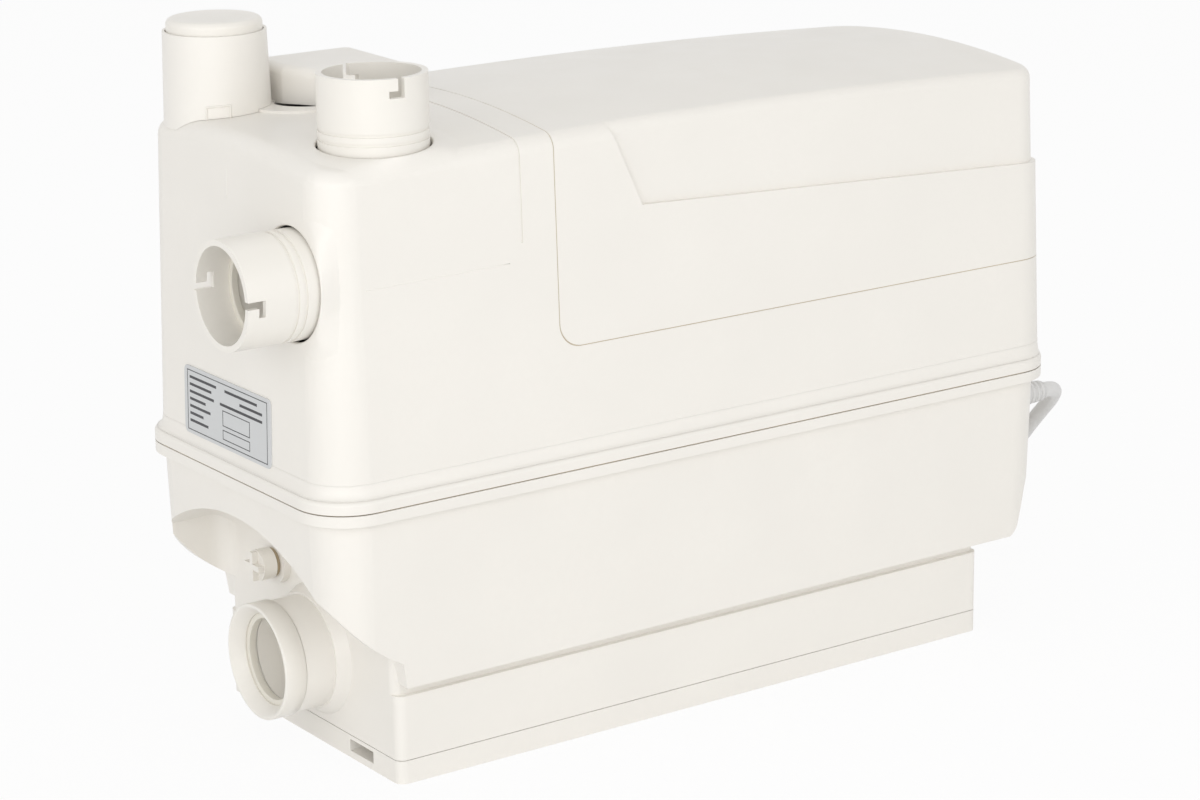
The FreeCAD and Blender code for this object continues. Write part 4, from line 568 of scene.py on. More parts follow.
def lathe(profile: Profile, centre: Vector, axis: Vector, steps: int) -> bmesh.types.BMesh:
    """Turn a profile about an axis.

    Args:
        profile: Pairs of distance along the axis and radius, in millimetres.
        centre: Where distance 0 lies.
        axis: The axis's direction.
        steps: How many faces go round.

    Returns:
        The mesh.
    """
    turn = axis.to_track_quat("Z", "Y").to_matrix()
    rows = []
    for along, radius in profile:
        row = []
        for number in range(steps):
            angle = 2 * math.pi * number / steps
            spot = Vector((radius * math.cos(angle), radius * math.sin(angle), along))
            row.append(centre + turn @ (spot * MM))
        rows.append(row)
    mesh = bmesh.new()
    bridge(mesh, rows, capped=profile[0] != profile[-1])
    return mesh


def sweep(path: Sequence[Vector], radius: float, sides: int = 8, closed: bool = False) -> bmesh.types.BMesh:
    """Draw a round section along a path.

    Args:
        path: The points of its middle line, in metres.
        radius: The section's radius, in millimetres.
        sides: How many faces go round it.
        closed: Whether the path ends where it starts.

    Returns:
        The mesh.
    """
    mesh = bmesh.new()
    count = len(path)
    rows = []
    across = None
    for number, point in enumerate(path):
        before = path[number - 1] if number or closed else point
        after = path[(number + 1) % count] if number < count - 1 or closed else point
        way = (after - before).normalized()
        across = way.orthogonal() if across is None else across - way * across.dot(way)
        across.normalize()
        beside = way.cross(across)
        rows.append(
            [
                point + radius * MM * (math.cos(turn) * across + math.sin(turn) * beside)
                for turn in (2 * math.pi * side / sides for side in range(sides))
            ]
        )
    bridge(mesh, rows, closed)
    return mesh


class Skin:
    """The outer skin of some nodes of the frame, which fine pieces are laid on."""

    def __init__(self, *names: str) -> None:
        """Gather the nodes' faces.

        Args:
            names: The nodes.
        """
        corners: list[Vector] = []
        faces: list[tuple[int, ...]] = []
        for name in names:
            data = frame["nodes"][name].data
            first = len(corners)
            corners += [vertex.co.copy() for vertex in data.vertices]
            faces += [tuple(first + index for index in face.vertices) for face in data.polygons]
        self.tree = BVHTree.FromPolygons(corners, faces)

    def touch(self, start: Vector, way: Vector, depth: float = 0.0) -> Vector:
        """Follow a line to the skin.

        Args:
            start: Where it starts, outside the nodes.
            way: Its direction.
            depth: How far beyond the skin the point lies, in metres, or less than 0 for before it.

        Returns:
            The point.
        """
        way = way.normalized()
        spot = self.tree.ray_cast(start, way)[0]
        if spot is None:
            raise ValueError(f"nothing is met from {tuple(start)}")
        return spot + way * depth


@dataclass
class HousingFoot:
    """The hollow round where the upper housing's wall runs out into its bead.

    Sizes are millimetres; the insets count from the rim's outline.
    """

    length: float = 373.0
    width: float = 156.0
    rim_corner: float = 22.0
    bead_top: float = 123.3
    reach: float = 5.6
    bead_inset: float = 1.1
    wall_inset: float = 3.5
    wall_foot: float = 118.25
    lead_inset: float = 0.8
    lead_share: float = 0.7
    draft: float = 1.8
    proud: float = 0.06
    overlap: float = 0.3
    depth: float = 1.2
    steps: int = 8
    corner_steps: int = 14
    side_steps: int = 6

    def outline(self, inset: float, lead_inset: float, corner: float, level: float) -> list[Vector]:
        """Return points once round a rectangle with round corners.

        Args:
            inset: How far it lies inside the rim's outline on three sides.
            lead_inset: How far on the lead's side.
            corner: The corners' radius.
            level: Its height.

        Returns:
            The points in the frame.
        """
        left, right = inset, self.length - lead_inset
        front, back = inset, self.width - inset
        spots = (
            (right - corner, front + corner, -90),
            (right - corner, back - corner, 0),
            (left + corner, back - corner, 90),
            (left + corner, front + corner, 180),
        )
        arcs = []
        for x, y, start in spots:
            arc = []
            for step in range(self.corner_steps + 1):
                turn = math.radians(start + 90 * step / self.corner_steps)
                arc.append(at(x + corner * math.cos(turn), y + corner * math.sin(turn), level))
            arcs.append(arc)
        points = []
        for arc, following in zip(arcs, arcs[1:] + arcs[:1]):
            points += arc
            shares = (step / self.side_steps for step in range(1, self.side_steps))
            points += [arc[-1].lerp(following[0], share) for share in shares]
        return points

    def build(self) -> None:
        """Build the round and lay it on the housing."""
        top = self.bead_top + self.reach
        lean = math.tan(math.radians(self.draft))
        rows = []
        for step in range(self.steps + 1):
            turn = math.radians(90 * step / self.steps)
            level = top - self.reach * math.cos(turn)
            share = math.sin(turn)
            rise = lean * (level - self.wall_foot) - self.proud
            lead_wall = self.lead_inset + rise
            inset = self.bead_inset + (self.wall_inset + rise - self.bead_inset) * share
            lead = min(self.bead_inset, lead_wall) * self.lead_share
            lead_inset = lead + (lead_wall - lead) * share
            rows.append(self.outline(inset, lead_inset, self.rim_corner - inset, level))
        inset = self.wall_inset + self.depth
        for level in (top, self.bead_top - self.overlap):
            rows.append(self.outline(inset, self.lead_inset + self.depth, self.rim_corner - inset, level))
        mesh = bmesh.new()
        bridge(mesh, rows, closed=True)
        attach(add_mesh("housing_foot_round", mesh, CREAM))


@dataclass
class CoverSeam:
    """The thin lip that shows in the seam between the upper housing and the motor cover, tinted tan as
    painted shade of the seam's groove.
    """

    seam_x: float = 111.0
    seam_level: float = 167.0
    corner: float = 10.0
    middle: Point = (320.0, 78.0, 200.0)
    half_width: float = 72.0
    far: float = 220.0
    gap: float = 0.6
    sunk: float = 0.42
    radius: float = 0.32
    crown_steps: int = 110
    corner_steps: int = 9
    end_steps: int = 60
    run: float = 12.0

    def laid(self, skin: Skin, spot: Point, way: Vector, aside: Vector) -> Vector:
        """Return a point just under the skin, in the middle between the seam's two edges.

        Args:
            skin: The skin of the housing and the cover.
            spot: Where the line to the skin starts, in millimetres.
            way: The line's direction.
            aside: The direction across the seam.

        Returns:
            The point.
        """
        start = at(*spot)
        edges = [skin.touch(start + aside * side * self.gap * MM, way, self.sunk * MM) for side in (-1, 1)]
        return (edges[0] + edges[1]) / 2

    def over_crown(self, skin: Skin) -> list[Vector]:
        """Return the line over the housing's crown, from the near side to the far one."""
        _, middle_y, middle_z = self.middle
        start = math.degrees(math.atan2(self.seam_level + self.corner - middle_z, self.half_width))
        path = []
        for number in range(self.crown_steps + 1):
            turn = math.radians(start + (180 - 2 * start) * number / self.crown_steps)
            out = Vector((0, -math.cos(turn), math.sin(turn)))
            spot = (self.seam_x, middle_y + out.y * self.far, middle_z + out.z * self.far)
            path.append(self.laid(skin, spot, -out, Vector((1, 0, 0))))
        return path

    def along_side(self, skin: Skin, side: int) -> list[Vector]:
        """Return the line round the lower corner of a long side and along that side.

        Args:
            skin: The skin of the housing and the cover.
            side: 1 for the far side, -1 for the near one.

        Returns:
            The points, up to the lead's end.
        """
        middle_x, middle_y, _ = self.middle
        y = middle_y + side * self.far
        inward = Vector((0, -side, 0))
        path = []
        for number in range(1, self.corner_steps):
            turn = math.radians(90 * number / self.corner_steps)
            x = self.seam_x + self.corner * (1 - math.cos(turn))
            z = self.seam_level + self.corner * (1 - math.sin(turn))
            aside = Vector((math.cos(turn), 0, math.sin(turn)))
            path.append(self.laid(skin, (x, y, z), inward, aside))
        x = self.seam_x + self.corner
        while x < middle_x:
            path.append(self.laid(skin, (x, y, self.seam_level), inward, Vector((0, 0, 1))))
            x += self.run
        return path

    def round_end(self, skin: Skin) -> list[Vector]:
        """Return the line round the lead's end, from the near side to the far one."""
        middle_x, middle_y, _ = self.middle
        path = []
        for number in range(self.end_steps + 1):
            turn = math.radians(-90 + 180 * number / self.end_steps)
            out = Vector((math.cos(turn), math.sin(turn), 0))
            spot = (middle_x + out.x * self.far, middle_y + out.y * self.far, self.seam_level)
            path.append(self.laid(skin, spot, -out, Vector((0, 0, 1))))
        return path

    def build(self) -> None:
        """Lay the lip over the housing's crown, down both long sides and round the lead's end."""
        skin = Skin("upper_housing", "motor_cover")
        path = self.over_crown(skin) + self.along_side(skin, 1)
        path += self.round_end(skin)[::-1] + self.along_side(skin, -1)[::-1]
        mesh = sweep(path, self.radius, closed=True)
        # The lip's tan finish is painted shade of the seam's groove.
        attach(add_mesh("cover_seam_lip", mesh, PAINTED_SEAM_SHADE))


@dataclass
class MouldMarks:
    """The fine raised lines that the mould leaves on the housing, and the latch at the column's foot."""

    height: float = 0.12
    radius: float = 0.3
    side_span: tuple[int, int, int] = (24, 90, 5)
    side_level: float = 203.3
    side_slope: float = 0.015
    end_span: tuple[int, int, int] = (229, 243, 2)
    end_y: float = 81.0
    column: tuple[float, float] = (29.5, 127.0)
    column_radius: float = 21.7
    latch_start: float = -130.0
    latch_sweep: float = 25.0
    latch_height: float = 5.0
    latch_radius: float = 0.45
    latch_steps: tuple[int, int] = (10, 6)

    def build(self) -> None:
        """Build the lines and the latch."""
        skin = Skin("upper_housing")
        sunk = (self.radius - self.height) * MM
        side = [
            skin.touch(at(x, -20, self.side_level + x * self.side_slope), Vector((0, 1, 0)), sunk)
            for x in range(*self.side_span)
        ]
        end = [skin.touch(at(-20, self.end_y, z), Vector((1, 0, 0)), sunk) for z in range(*self.end_span)]
        for name, path in (("side_mould_line", side), ("end_mould_line", end)):
            attach(add_mesh(name, sweep(path, self.radius), CREAM))
        self.build_latch(skin)

    def build_latch(self, skin: Skin) -> None:
        """Build the latch's raised outline.

        Args:
            skin: The housing's skin.
        """
        x, y = self.column
        path = []
        wide, high = self.latch_steps
        shares = [(0.0, number / high) for number in range(high)]
        shares += [(number / wide, 1.0) for number in range(wide + 1)]
        shares += [(1.0, 1 - number / high) for number in range(1, high + 1)]
        for across, up in shares:
            turn = math.radians(self.latch_start + self.latch_sweep * across)
            spot_x = x + self.column_radius * math.cos(turn)
            spot_y = y + self.column_radius * math.sin(turn)
            foot = skin.touch(at(spot_x, spot_y, 300), Vector((0, 0, -1))).z
            path.append(at(spot_x, spot_y, 0) + Vector((0, 0, foot + up * self.latch_height * MM)))
        attach(add_mesh("column_latch", sweep(path, self.latch_radius), CREAM_FITTING))


@dataclass
class SocketPad:
    """The flat landing round a socket's hole, which runs out into the housing's round edges.

    The place is a point on the hole's axis, outside the housing, and out is where the hole faces.
    """

    name: str
    place: Point
    out: Vector
    hole_radius: float = 22.45
    flat_radius: float = 23.3
    probe_radius: float = 30.0
    outer_radius: float = 34.0
    deepest: float = 8.0
    sunk: float = 0.25
    proud: float = 0.05
    skirt: float = 2.4
    edge_height: float = 0.4
    edge_width: float = 0.3
    search: float = 0.25
    rings: int = 14
    steps: int = 120

    def __post_init__(self) -> None:
        """Find the plane that the housing holds beside the hole."""
        self.skin = Skin("upper_housing")
        self.inward = Vector((0, 1, 0))
        self.beside = self.out.cross(self.inward)
        ways = (self.inward, self.inward + self.beside, self.inward - self.beside)
        probes = [self.skin.touch(self.spot(way.normalized(), self.probe_radius), -self.out) for way in ways]
        self.anchor = probes[0]
        self.normal = (probes[1] - probes[0]).cross(probes[2] - probes[0]).normalized()

    def spot(self, way: Vector, radius: float) -> Vector:
        """Return the point outside the housing at a radius in millimetres from the hole's axis."""
        return at(*self.place) + way * radius * MM

    def level(self, spot: Vector) -> Vector:
        """Return where the line from a spot, along the hole's axis, meets the plane."""
        return spot + self.out * ((self.anchor - spot).dot(self.normal) / self.out.dot(self.normal))

    def reach(self, way: Vector) -> float:
        """Return how far out the landing runs before the housing falls away.

        Args:
            way: The direction from the axis.

        Returns:
            The radius in millimetres.
        """
        radius = self.flat_radius + self.edge_width
        while radius < self.outer_radius:
            spot = self.spot(way, radius + self.search)
            found = self.skin.tree.ray_cast(spot, -self.out)[0]
            if found is None or (self.level(spot) - found).dot(self.out) > self.deepest * MM:
                break
            radius += self.search
        return radius

    def build(self) -> None:
        """Build the landing: level round the hole, then blended into the skin."""
        rise = self.out * MM
        rows: list[list[Vector]] = [[] for _ in range(self.rings + 3)]
        for number in range(self.steps):
            turn = 2 * math.pi * number / self.steps
            way = self.inward * math.cos(turn) + self.beside * math.sin(turn)
            edge = self.level(self.spot(way, self.hole_radius))
            rows[0].append(edge - rise * self.skirt)
            rows[1].append(edge - rise * self.edge_height)
            rows[2].append(self.level(self.spot(way, self.hole_radius + self.edge_width)) + rise * self.proud)
            reach = self.reach(way)
            for ring in range(self.rings):
                share = ring / (self.rings - 1)
                spot = self.spot(way, self.flat_radius + (reach - self.flat_radius) * share)
                flat = self.level(spot) + rise * self.proud
                below = self.skin.touch(spot, -self.out, self.sunk * MM)
                rows[ring + 3].append(flat.lerp(below, share * share * (3 - 2 * share)))
        mesh = bmesh.new()
        bridge(mesh, rows, capped=False)
        attach(add_mesh(self.name, mesh, CREAM))


@dataclass
class InletMouth:
    """The low inlet's collar with its flared mouth, and the raised bead on the flap behind it."""

    place: Point = (6.0, 72.0, 40.0)
    flap_depth: float = 30.8
    steps: int = 96
    collar: Profile = (
        (9.7, 17.45), (9.7, 23.4), (9.3, 23.95), (0.7, 23.95), (0.2, 23.8), (0.0, 23.4), (0.0, 22.9),
        (0.3, 22.4), (4.9, 19.2), (5.4, 19.0), (6.0, 19.0), (6.0, 20.75), (9.0, 20.75), (9.0, 17.45),
        (9.7, 17.45),
    )
    bead: Profile = (
        (0.02, 14.2), (-0.5, 14.3), (-0.95, 14.8), (-1.0, 15.2), (-0.8, 15.6), (0.02, 15.75), (0.02, 14.2),
    )

    def build(self) -> None:
        """Build the collar and the bead."""
        x, y, z = self.place
        axis = Vector((1, 0, 0))
        mesh = lathe(self.collar, at(x, y, z), axis, self.steps)
        piece = attach(add_mesh("mouth_collar", mesh, CREAM_FITTING))
        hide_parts("low_inlet_collar")
        mesh = lathe(self.bead, at(x + self.flap_depth, y, z), axis, self.steps)
        attach(add_mesh("flap_bead", mesh, PALE_SEAL), Body.LOW_FLAP)


@dataclass
class PlateMarks:
    """The rating plate's plain ruled frame, with short bars in place of its lines.

    A bar is given by its near and far end, across the unit, and its lower and upper edge.
    """

    left: float = 50.5
    right: float = 115.5
    low: float = 128.5
    high: float = 153.5
    line: float = 0.35
    sunk: float = 0.05
    proud: float = 0.15
    first: float = 3.4
    pitch: float = 3.0
    thick: float = 1.1
    margin: float = 2.0
    far_bars: tuple[float, ...] = (22, 18, 20, 13, 17, 11, 15)
    near_bars: tuple[tuple[float, float], ...] = ((8, 26), (4, 18), (4, 34))
    boxes: tuple[tuple[float, float], ...] = ((136.0, 142.5), (130.5, 134.5))
    box_span: tuple[float, float] = (14, 36)

    def box(self, first: float, last: float, low: float, high: float) -> list[Bar]:
        """Return the four thin bars round an empty box.

        Args:
            first: The box's near end, across the unit.
            last: Its far end.
            low: Its lower edge.
            high: Its upper edge.

        Returns:
            The bars.
        """
        return [
            (first, last, low, low + self.line),
            (first, last, high - self.line, high),
            (first, first + self.line, low, high),
            (last - self.line, last, low, high),
        ]

    def bars(self) -> list[Bar]:
        """Return all bars: the frame's, the lines' and the two boxes'."""
        bars = self.box(self.left, self.right, self.low, self.high)
        edge = self.right - self.margin
        for number, reach in enumerate(self.far_bars):
            level = self.high - self.first - number * self.pitch
            bars.append((edge - reach, edge, level, level + self.thick))
        for number, (start, reach) in enumerate(self.near_bars):
            level = self.high - self.first - number * self.pitch
            bars.append((self.left + start, self.left + start + reach, level, level + self.thick))
        start, end = self.box_span
        for low, high in self.boxes:
            bars += self.box(self.left + start, self.left + end, low, high)
        return bars

    def build(self) -> None:
        """Lay the bars on the plate."""
        skin = Skin("rating_plate")
        mesh = bmesh.new()
        for first, last, low, high in self.bars():
            corners = ((first, low), (last, low), (last, high), (first, high))
            rows = []
            for depth in (-self.sunk, self.proud):
                rows.append([skin.touch(at(-20, y, z), Vector((1, 0, 0)), depth * MM) for y, z in corners])
            bridge(mesh, rows)
        attach(add_mesh("plate_marks", mesh, PRINT, smooth=False))


@dataclass
class StatorWinding:
    """The wound coil ends above and below the stator's pack, as bundles of lacquered wire."""

    bore: float = 30.0
    coils: int = 12
    strands: int = 15
    packing: float = 0.90
    coil_swell: float = 0.07
    strand_swell: float = 0.03
    squareness: float = 0.7
    sides: int = 120
    steps: int = 28

    def ring(self, low: float, high: float, inner: float, outer: float) -> list[list[Vector]]:
        """Return rows round one ring of coil ends.

        Args:
            low: Its lower level, in metres.
            high: Its upper level.
            inner: Its bore's radius.
            outer: Its outer radius.

        Returns:
            The rows of points, relative to the shaft's axis.
        """
        rows = []
        middle_r, middle_z = (inner + outer) / 2, (low + high) / 2
        half_r, half_z = (outer - inner) / 2, (high - low) / 2
        for side in range(self.sides):
            turn = 2 * math.pi * side / self.sides
            swell = self.packing + self.coil_swell * math.cos(self.coils * turn)
            row = []
            for step in range(self.steps):
                bend = 2 * math.pi * step / self.steps
                grow = swell + self.strand_swell * math.cos(self.strands * bend + self.coils * turn * 0.5)
                parts = (math.cos(bend), math.sin(bend))
                across, up = (math.copysign(abs(part) ** self.squareness, part) for part in parts)
                reach = middle_r + half_r * grow * across
                level = middle_z + half_z * grow * up
                row.append(Vector((reach * math.cos(turn), reach * math.sin(turn), level)))
            rows.append(row)
        return rows

    def build(self) -> None:
        """Build both rings in the place of the plain ones."""
        low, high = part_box("stator_windings")
        core_low, core_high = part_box("stator_core")
        middle = (low + high) / 2
        outer = (high.x - low.x) / 2
        mesh = bmesh.new()
        for foot, top in ((low.z, core_low.z), (core_high.z, high.z)):
            rows = self.ring(foot, top, self.bore * MM, outer)
            centre = Vector((middle.x, middle.y, 0))
            bridge(mesh, [[centre + point for point in row] for row in rows], closed=True)
        piece = attach(add_mesh("winding_bundles", mesh, COPPER))
        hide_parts("stator_windings")


@dataclass
class FilterPlug:
    """The vent's foam plug, crowned a little at both ends and pulled in round its edges."""

    sides: int = 48
    crown: float = 0.6
    play: float = 0.1
    eye: float = 0.2
    crown_reach: float = 0.9
    shoulder: float = 0.965
    waist: float = 0.992

    def build(self) -> None:
        """Build the plug in the place of the plain one."""
        low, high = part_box("carbon_filter")
        middle = (low + high) / 2
        radius = (high.x - low.x) / 2 / MM - self.play
        height = (high.z - low.z) / MM
        shares = (0.0, 0.2, 0.4, 0.6, 0.8)
        half = [(self.crown * share**2, radius * self.crown_reach * share + self.eye) for share in shares]
        half += [(self.crown + 0.4, radius * self.shoulder), (self.crown + 1.4, radius)]
        middle_part = [(height * share, radius * self.waist) for share in (0.3, 0.5, 0.7)]
        profile = half + middle_part + [(height - along, reach) for along, reach in reversed(half)]
        mesh = lathe(profile, Vector((middle.x, middle.y, low.z)), Vector((0, 0, 1)), self.sides)
        piece = attach(add_mesh("foam_plug", mesh, FOAM))
        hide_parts("carbon_filter")


@dataclass
class MainsLead:
    """The mains lead with its relief, its put-away coil, its tie and its plug.

    The route runs from the gland down to the floor and round behind the unit, in millimetres.
    """

    radius: float = 3.5
    length: float = 1.14
    route: tuple[Point, ...] = (
        (381, 38, 94), (394, 38, 94), (411, 45, 91), (422, 58, 82), (425, 74, 67), (426, 92, 46),
        (426, 110, 26), (424, 128, 10), (419, 146, 4.4), (410, 162, 3.6), (391, 177, 3.5),
        (366, 188, 3.5), (333, 194, 3.5), (300, 194, 3.5),
    )
    coil_radius: float = 46.0
    coil_pitch: float = 7.6
    coil_turns: int = 3
    points_per_turn: int = 12
    # How far the tail runs back and aside, and the share of its rise to the plug's middle.
    tail_steps: tuple[Point, ...] = ((24, 0.5, 0.0), (48, 1.5, 0.35), (72, 2.0, 1.0), (96, 2.0, 1.0))
    relief_wall: float = 369.0
    relief_foot: Profile = ((0.0, 6.9), (0.5, 7.4), (4.5, 7.4), (5.0, 6.9), (5.2, 6.3))
    relief_start: float = 6.0
    relief_length: float = 27.0
    relief_radius: float = 6.2
    relief_taper: float = 1.7
    relief_end: float = 4.1
    relief_tip: float = 0.4
    relief_play: float = 0.05
    ribs: int = 7
    # Shares of a rib's length, with how far the rib lies below its outer radius there.
    rib: Profile = ((0.0, 0.0), (0.62, 0.15), (0.68, 0.8), (0.94, 0.9))
    tie_turn: float = 0.62
    tie_corner: float = 3.0
    tie_thickness: float = 0.4
    tie_play: Point = (1.0, 0.4, 0.5)
    tie_corner_steps: int = 6
    tie_section: Profile = ((-2.2, 0.0), (-2.0, 0.5), (2.0, 0.5), (2.2, 0.0))
    tie_bulge: tuple[float, float] = (0.4, 0.5)
    tie_floor: float = 0.5
    plug_radius: float = 18.5
    plug_play: float = 0.15
    plug_neck: Profile = ((0.0, 4.0), (0.2, 4.6), (8.0, 6.6), (13.0, 8.0), (15.0, 10.5))
    # Places along the plug, with how far its skin lies below its full radius there.
    plug_shoulder: Profile = ((16.5, 2.2), (18.0, 0.8), (19.0, 0.6))
    plug_end: Profile = ((29.5, 0.0), (31.5, 0.0), (32.4, 1.0), (32.6, 2.6), (35.6, 3.2), (36.0, 4.2))
    grip: Profile = ((0.0, 0.5), (0.4, 1.6), (1.2, 1.6), (1.6, 0.5))
    grips: int = 4
    grip_start: float = 20.0
    grip_pitch: float = 2.2

    def coil_spot(self, turns: float) -> Point:
        """Return a point of the coil's centre line.

        Args:
            turns: How many turns from the coil's start.

        Returns:
            The point in millimetres.
        """
        inward = min(turns, self.coil_turns - turns)
        level = min(max(2 * (turns - self.coil_turns / 2) + 0.5, 0.0), 1.0)
        smooth = level * level * (3 - 2 * level)
        radius = self.coil_radius - self.coil_pitch * inward
        angle = math.radians(270) - 2 * math.pi * turns
        end_x, end_y, _ = self.route[-1]
        return (
            end_x + radius * math.cos(angle),
            end_y + self.coil_radius + radius * math.sin(angle),
            self.radius + self.coil_pitch * smooth,
        )

    def tail(self) -> list[Point]:
        """Return the points from the coil's end up to the plug."""
        x, y, z = self.coil_spot(self.coil_turns)
        rise = self.plug_radius - z
        return [(x - back, y + aside, z + rise * share) for back, aside, share in self.tail_steps]

    def build(self) -> None:
        """Build the lead and all that goes with it."""
        points = list(self.route)
        count = self.coil_turns * self.points_per_turn
        points += [self.coil_spot(number / self.points_per_turn) for number in range(1, count + 1)]
        points += self.tail()
        curve = bpy.data.curves.new("mains_flex", "CURVE")
        curve.dimensions = "3D"
        curve.bevel_depth = self.radius * MM
        curve.bevel_resolution = 8
        curve.resolution_u = 8
        curve.use_fill_caps = True
        line = curve.splines.new("NURBS")
        line.points.add(len(points) - 1)
        for spot, point in zip(line.points, points):
            spot.co = (*at(*point), 1.0)
        line.order_u = 3
        line.use_endpoint_u = True
        curve.materials.append(SHEATH.material())
        flex = bpy.data.objects.new("mains_flex", curve)
        bpy.context.scene.collection.objects.link(flex)
        attach(flex)
        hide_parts("mains_lead", "lead_coil", "lead_tail")
        relief = self.build_relief()
        tie = self.build_tie()
        plug = self.build_plug()

    def build_relief(self) -> bpy.types.Object:
        """Build the gland with its tapered, ribbed relief, and return it."""
        inner = self.radius + self.relief_play
        end = self.relief_length
        step = (end - self.relief_start) / self.ribs
        profile = [(0.0, inner), *self.relief_foot]
        for number in range(self.ribs):
            outer = self.relief_radius - self.relief_taper * number / self.ribs
            place = self.relief_start + step * number
            profile += [(place + step * share, outer - drop) for share, drop in self.rib]
        profile += [(end, self.relief_end), (end + self.relief_tip, inner), (0.0, inner)]
        _, y, z = self.route[0]
        mesh = lathe(profile, at(self.relief_wall, y, z), Vector((1, 0, 0)), 64)
        piece = attach(add_mesh("lead_relief", mesh, SHEATH))
        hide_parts("cable_gland")
        return piece

    def build_tie(self) -> bpy.types.Object:
        """Build the tie round the coil's turns, and return it."""
        angle = math.radians(270) - 2 * math.pi * self.tie_turn
        end_x, end_y, _ = self.route[-1]
        middle = Vector((end_x, end_y + self.coil_radius, 0))
        outward = Vector((math.cos(angle), math.sin(angle), 0))
        along = Vector((-outward.y, outward.x, 0))
        corner = self.tie_corner
        play_in, play_out, play_above = self.tie_play
        inner = self.coil_radius - self.coil_pitch * self.coil_turns / 2 - self.radius - play_in + corner
        outer = self.coil_radius + self.radius + play_out - corner
        top = 2 * self.radius + self.coil_pitch + play_above - corner
        outline = []
        for centre_r, centre_z, first in (
            (outer, top, 0),
            (inner, top, 90),
            (inner, corner, 180),
            (outer, corner, 270),
        ):
            for step in range(self.tie_corner_steps + 1):
                bend = math.radians(first + 90 * step / self.tie_corner_steps)
                outline.append((centre_r + corner * math.cos(bend), centre_z + corner * math.sin(bend)))
        bulge_out, bulge_up = self.tie_bulge
        rows = []
        for offset, grow in self.tie_section:
            row = []
            for reach, height in outline:
                spot = middle + outward * (reach + grow * bulge_out) + along * offset
                row.append(at(spot.x, spot.y, max(height + grow * bulge_up, self.tie_floor)))
            rows.append(row)
        mesh = bmesh.new()
        add_rings(mesh, rows)
        piece = add_mesh("coil_tie", mesh, DARK)
        thick = piece.modifiers.new("thickness", "SOLIDIFY")
        thick.thickness = self.tie_thickness * MM
        return attach(piece)

    def build_plug(self) -> bpy.types.Object:
        """Build the plug's moulded body with its grip rings, and return it."""
        full = self.plug_radius - self.plug_play
        drops = [*self.plug_shoulder]
        for number in range(self.grips):
            place = self.grip_start + number * self.grip_pitch
            drops += [(place + along, drop) for along, drop in self.grip]
        drops += self.plug_end
        profile = [*self.plug_neck, *((along, full - drop) for along, drop in drops)]
        mesh = lathe(profile, at(*self.tail()[-1]), Vector((-1, 0, 0)), 72)
        piece = attach(add_mesh("plug_shell", mesh, SHEATH))
        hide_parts("plug_body")
        return piece


@dataclass(frozen=True)
class Lamp:
    """A soft square lamp."""

    name: str
    position: Point
    width: float
    power: float

    def hang(self, target: Vector) -> None:
        """Hang the lamp and turn it to a point.

        Args:
            target: The point.
        """
        data = bpy.data.lights.new(self.name, "AREA")
        data.shape = "SQUARE"
        data.size = self.width
        data.energy = self.power
        lamp = bpy.data.objects.new(self.name, data)
        lamp.location = self.position
        away = Vector(self.position) - target
        lamp.rotation_mode = "QUATERNION"
        lamp.rotation_quaternion = away.to_track_quat("Z", "Y")
        bpy.context.scene.collection.objects.link(lamp)


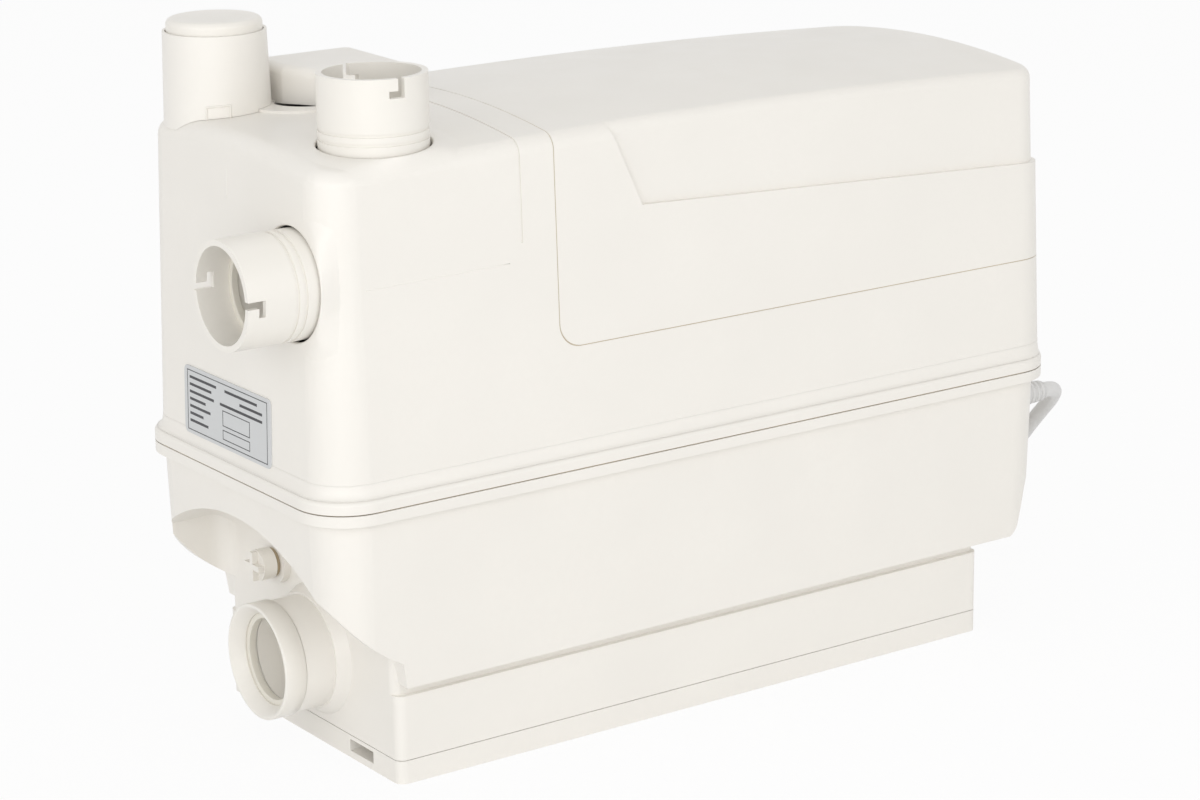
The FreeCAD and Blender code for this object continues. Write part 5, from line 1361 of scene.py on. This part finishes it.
@dataclass
class Studio:
    """The camera at the photograph's place, the pale floor and the soft light."""

    position: Point = (-0.7668, -1.1213, 0.5011)
    yaw: float = 0.6065
    pitch: float = 0.2756
    roll: float = 0.015
    lens: float = 99.2
    floor_size: float = 30.0
    floor_colour: Colour = (0.90, 0.90, 0.90)
    floor_white: float = 0.92
    ambient: float = 0.60
    ambient_colour: Colour = (1.0, 0.995, 0.985)
    target: Point = (0.0, -0.02, 0.13)
    lamps: tuple[Lamp, ...] = (
        Lamp("key", (0.1, -2.2, 1.0), 1.8, 11.8),
        Lamp("front", (-1.5, -1.6, 0.6), 1.4, 10.2),
        Lamp("side", (-2.2, -0.4, 0.9), 1.6, 7.6),
        Lamp("top", (0.3, 0.6, 2.4), 1.6, 4.0),
    )

    def build(self) -> None:
        """Build the camera, the world, the floor and the lamps."""
        self.build_camera()
        self.build_world()
        self.build_floor()
        for lamp in self.lamps:
            lamp.hang(Vector(self.target))
        bpy.context.scene.view_settings.view_transform = "Standard"

    def build_camera(self) -> None:
        """Place the camera and turn it as the photograph's was."""
        forward = Vector(
            (
                math.sin(self.yaw) * math.cos(self.pitch),
                math.cos(self.yaw) * math.cos(self.pitch),
                -math.sin(self.pitch),
            )
        )
        level = Vector((math.cos(self.yaw), -math.sin(self.yaw), 0.0))
        down = forward.cross(level)
        right = level * math.cos(self.roll) + down * math.sin(self.roll)
        up = level * math.sin(self.roll) - down * math.cos(self.roll)
        turn = Matrix((right, up, -forward)).transposed()
        data = bpy.data.cameras.new("camera")
        data.lens = self.lens
        data.sensor_width = 36.0
        data.clip_end = 100.0
        camera = bpy.data.objects.new("camera", data)
        camera.matrix_world = Matrix.Translation(self.position) @ turn.to_4x4()
        bpy.context.scene.collection.objects.link(camera)
        bpy.context.scene.camera = camera

    def build_world(self) -> None:
        """Give a white background, and a plainer light on the object."""
        world = bpy.data.worlds.new("studio")
        bpy.context.scene.world = world
        world.use_nodes = True
        tree = world.node_tree
        tree.nodes.clear()
        output = tree.nodes.new("ShaderNodeOutputWorld")
        mix = tree.nodes.new("ShaderNodeMixShader")
        sides = ((mix.inputs[1], self.ambient_colour, self.ambient), (mix.inputs[2], WHITE, 1.0))
        for socket, colour, strength in sides:
            light = tree.nodes.new("ShaderNodeBackground")
            light.inputs["Color"].default_value = (*colour, 1.0)
            light.inputs["Strength"].default_value = strength
            tree.links.new(light.outputs[0], socket)
        tree.links.new(self.seen(tree), mix.inputs["Fac"])
        tree.links.new(mix.outputs[0], output.inputs["Surface"])

    def build_floor(self) -> None:
        """Lay the pale floor."""
        mesh = bmesh.new()
        bmesh.ops.create_grid(mesh, x_segments=2, y_segments=2, size=self.floor_size / 2)
        finish = Finish("pale_floor", self.floor_colour, 0.85, variation=0.004, grain_height=0.00001)
        floor = add_mesh("floor", mesh, finish)
        self.whiten(floor.data.materials[0])

    def whiten(self, material: bpy.types.Material) -> None:
        """Let the floor show nearly white, with the object's shadow, and light nothing more.

        Args:
            material: The floor's material.
        """
        tree = material.node_tree
        share = tree.nodes.new("ShaderNodeMath")
        share.operation = "MULTIPLY"
        share.inputs[1].default_value = self.floor_white
        white = tree.nodes.new("ShaderNodeEmission")
        white.inputs["Color"].default_value = (*WHITE, 1.0)
        white.inputs["Strength"].default_value = 1.0
        mix = tree.nodes.new("ShaderNodeMixShader")
        tree.links.new(self.seen(tree), share.inputs[0])
        tree.links.new(share.outputs[0], mix.inputs["Fac"])
        tree.links.new(tree.nodes["Principled BSDF"].outputs[0], mix.inputs[1])
        tree.links.new(white.outputs[0], mix.inputs[2])
        tree.links.new(mix.outputs[0], tree.nodes["Material Output"].inputs["Surface"])

    def seen(self, tree: bpy.types.NodeTree) -> Socket:
        """Give 1 for rays that show a surface, straight, mirrored or through glass, and 0 for the rest.

        Args:
            tree: The nodes that ask.

        Returns:
            The socket of the share.
        """
        path = tree.nodes.new("ShaderNodeLightPath")
        share = path.outputs["Is Camera Ray"]
        for name in ("Is Transmission Ray", "Is Glossy Ray"):
            either = tree.nodes.new("ShaderNodeMath")
            either.operation = "MAXIMUM"
            tree.links.new(share, either.inputs[0])
            tree.links.new(path.outputs[name], either.inputs[1])
            share = either.outputs[0]
        return share


def main() -> None:
    """Build the studio and every sub-assembly, and dress the frame's nodes."""
    logging.basicConfig(level=logging.INFO, format="%(name)s: %(message)s")
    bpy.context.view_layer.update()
    Studio().build()
    for sub_assembly in (
        HousingFoot(),
        CoverSeam(),
        MouldMarks(),
        SocketPad("top_hole_pad", (45.0, 32.0, 300.0), Vector((0, 0, 1))),
        SocketPad("side_hole_pad", (-30.0, 32.0, 204.0), Vector((-1, 0, 0))),
        InletMouth(),
        PlateMarks(),
        StatorWinding(),
        FilterPlug(),
        MainsLead(),
    ):
        sub_assembly.build()
    FrameNodes().dress()


if __name__ == "__main__":
    main()
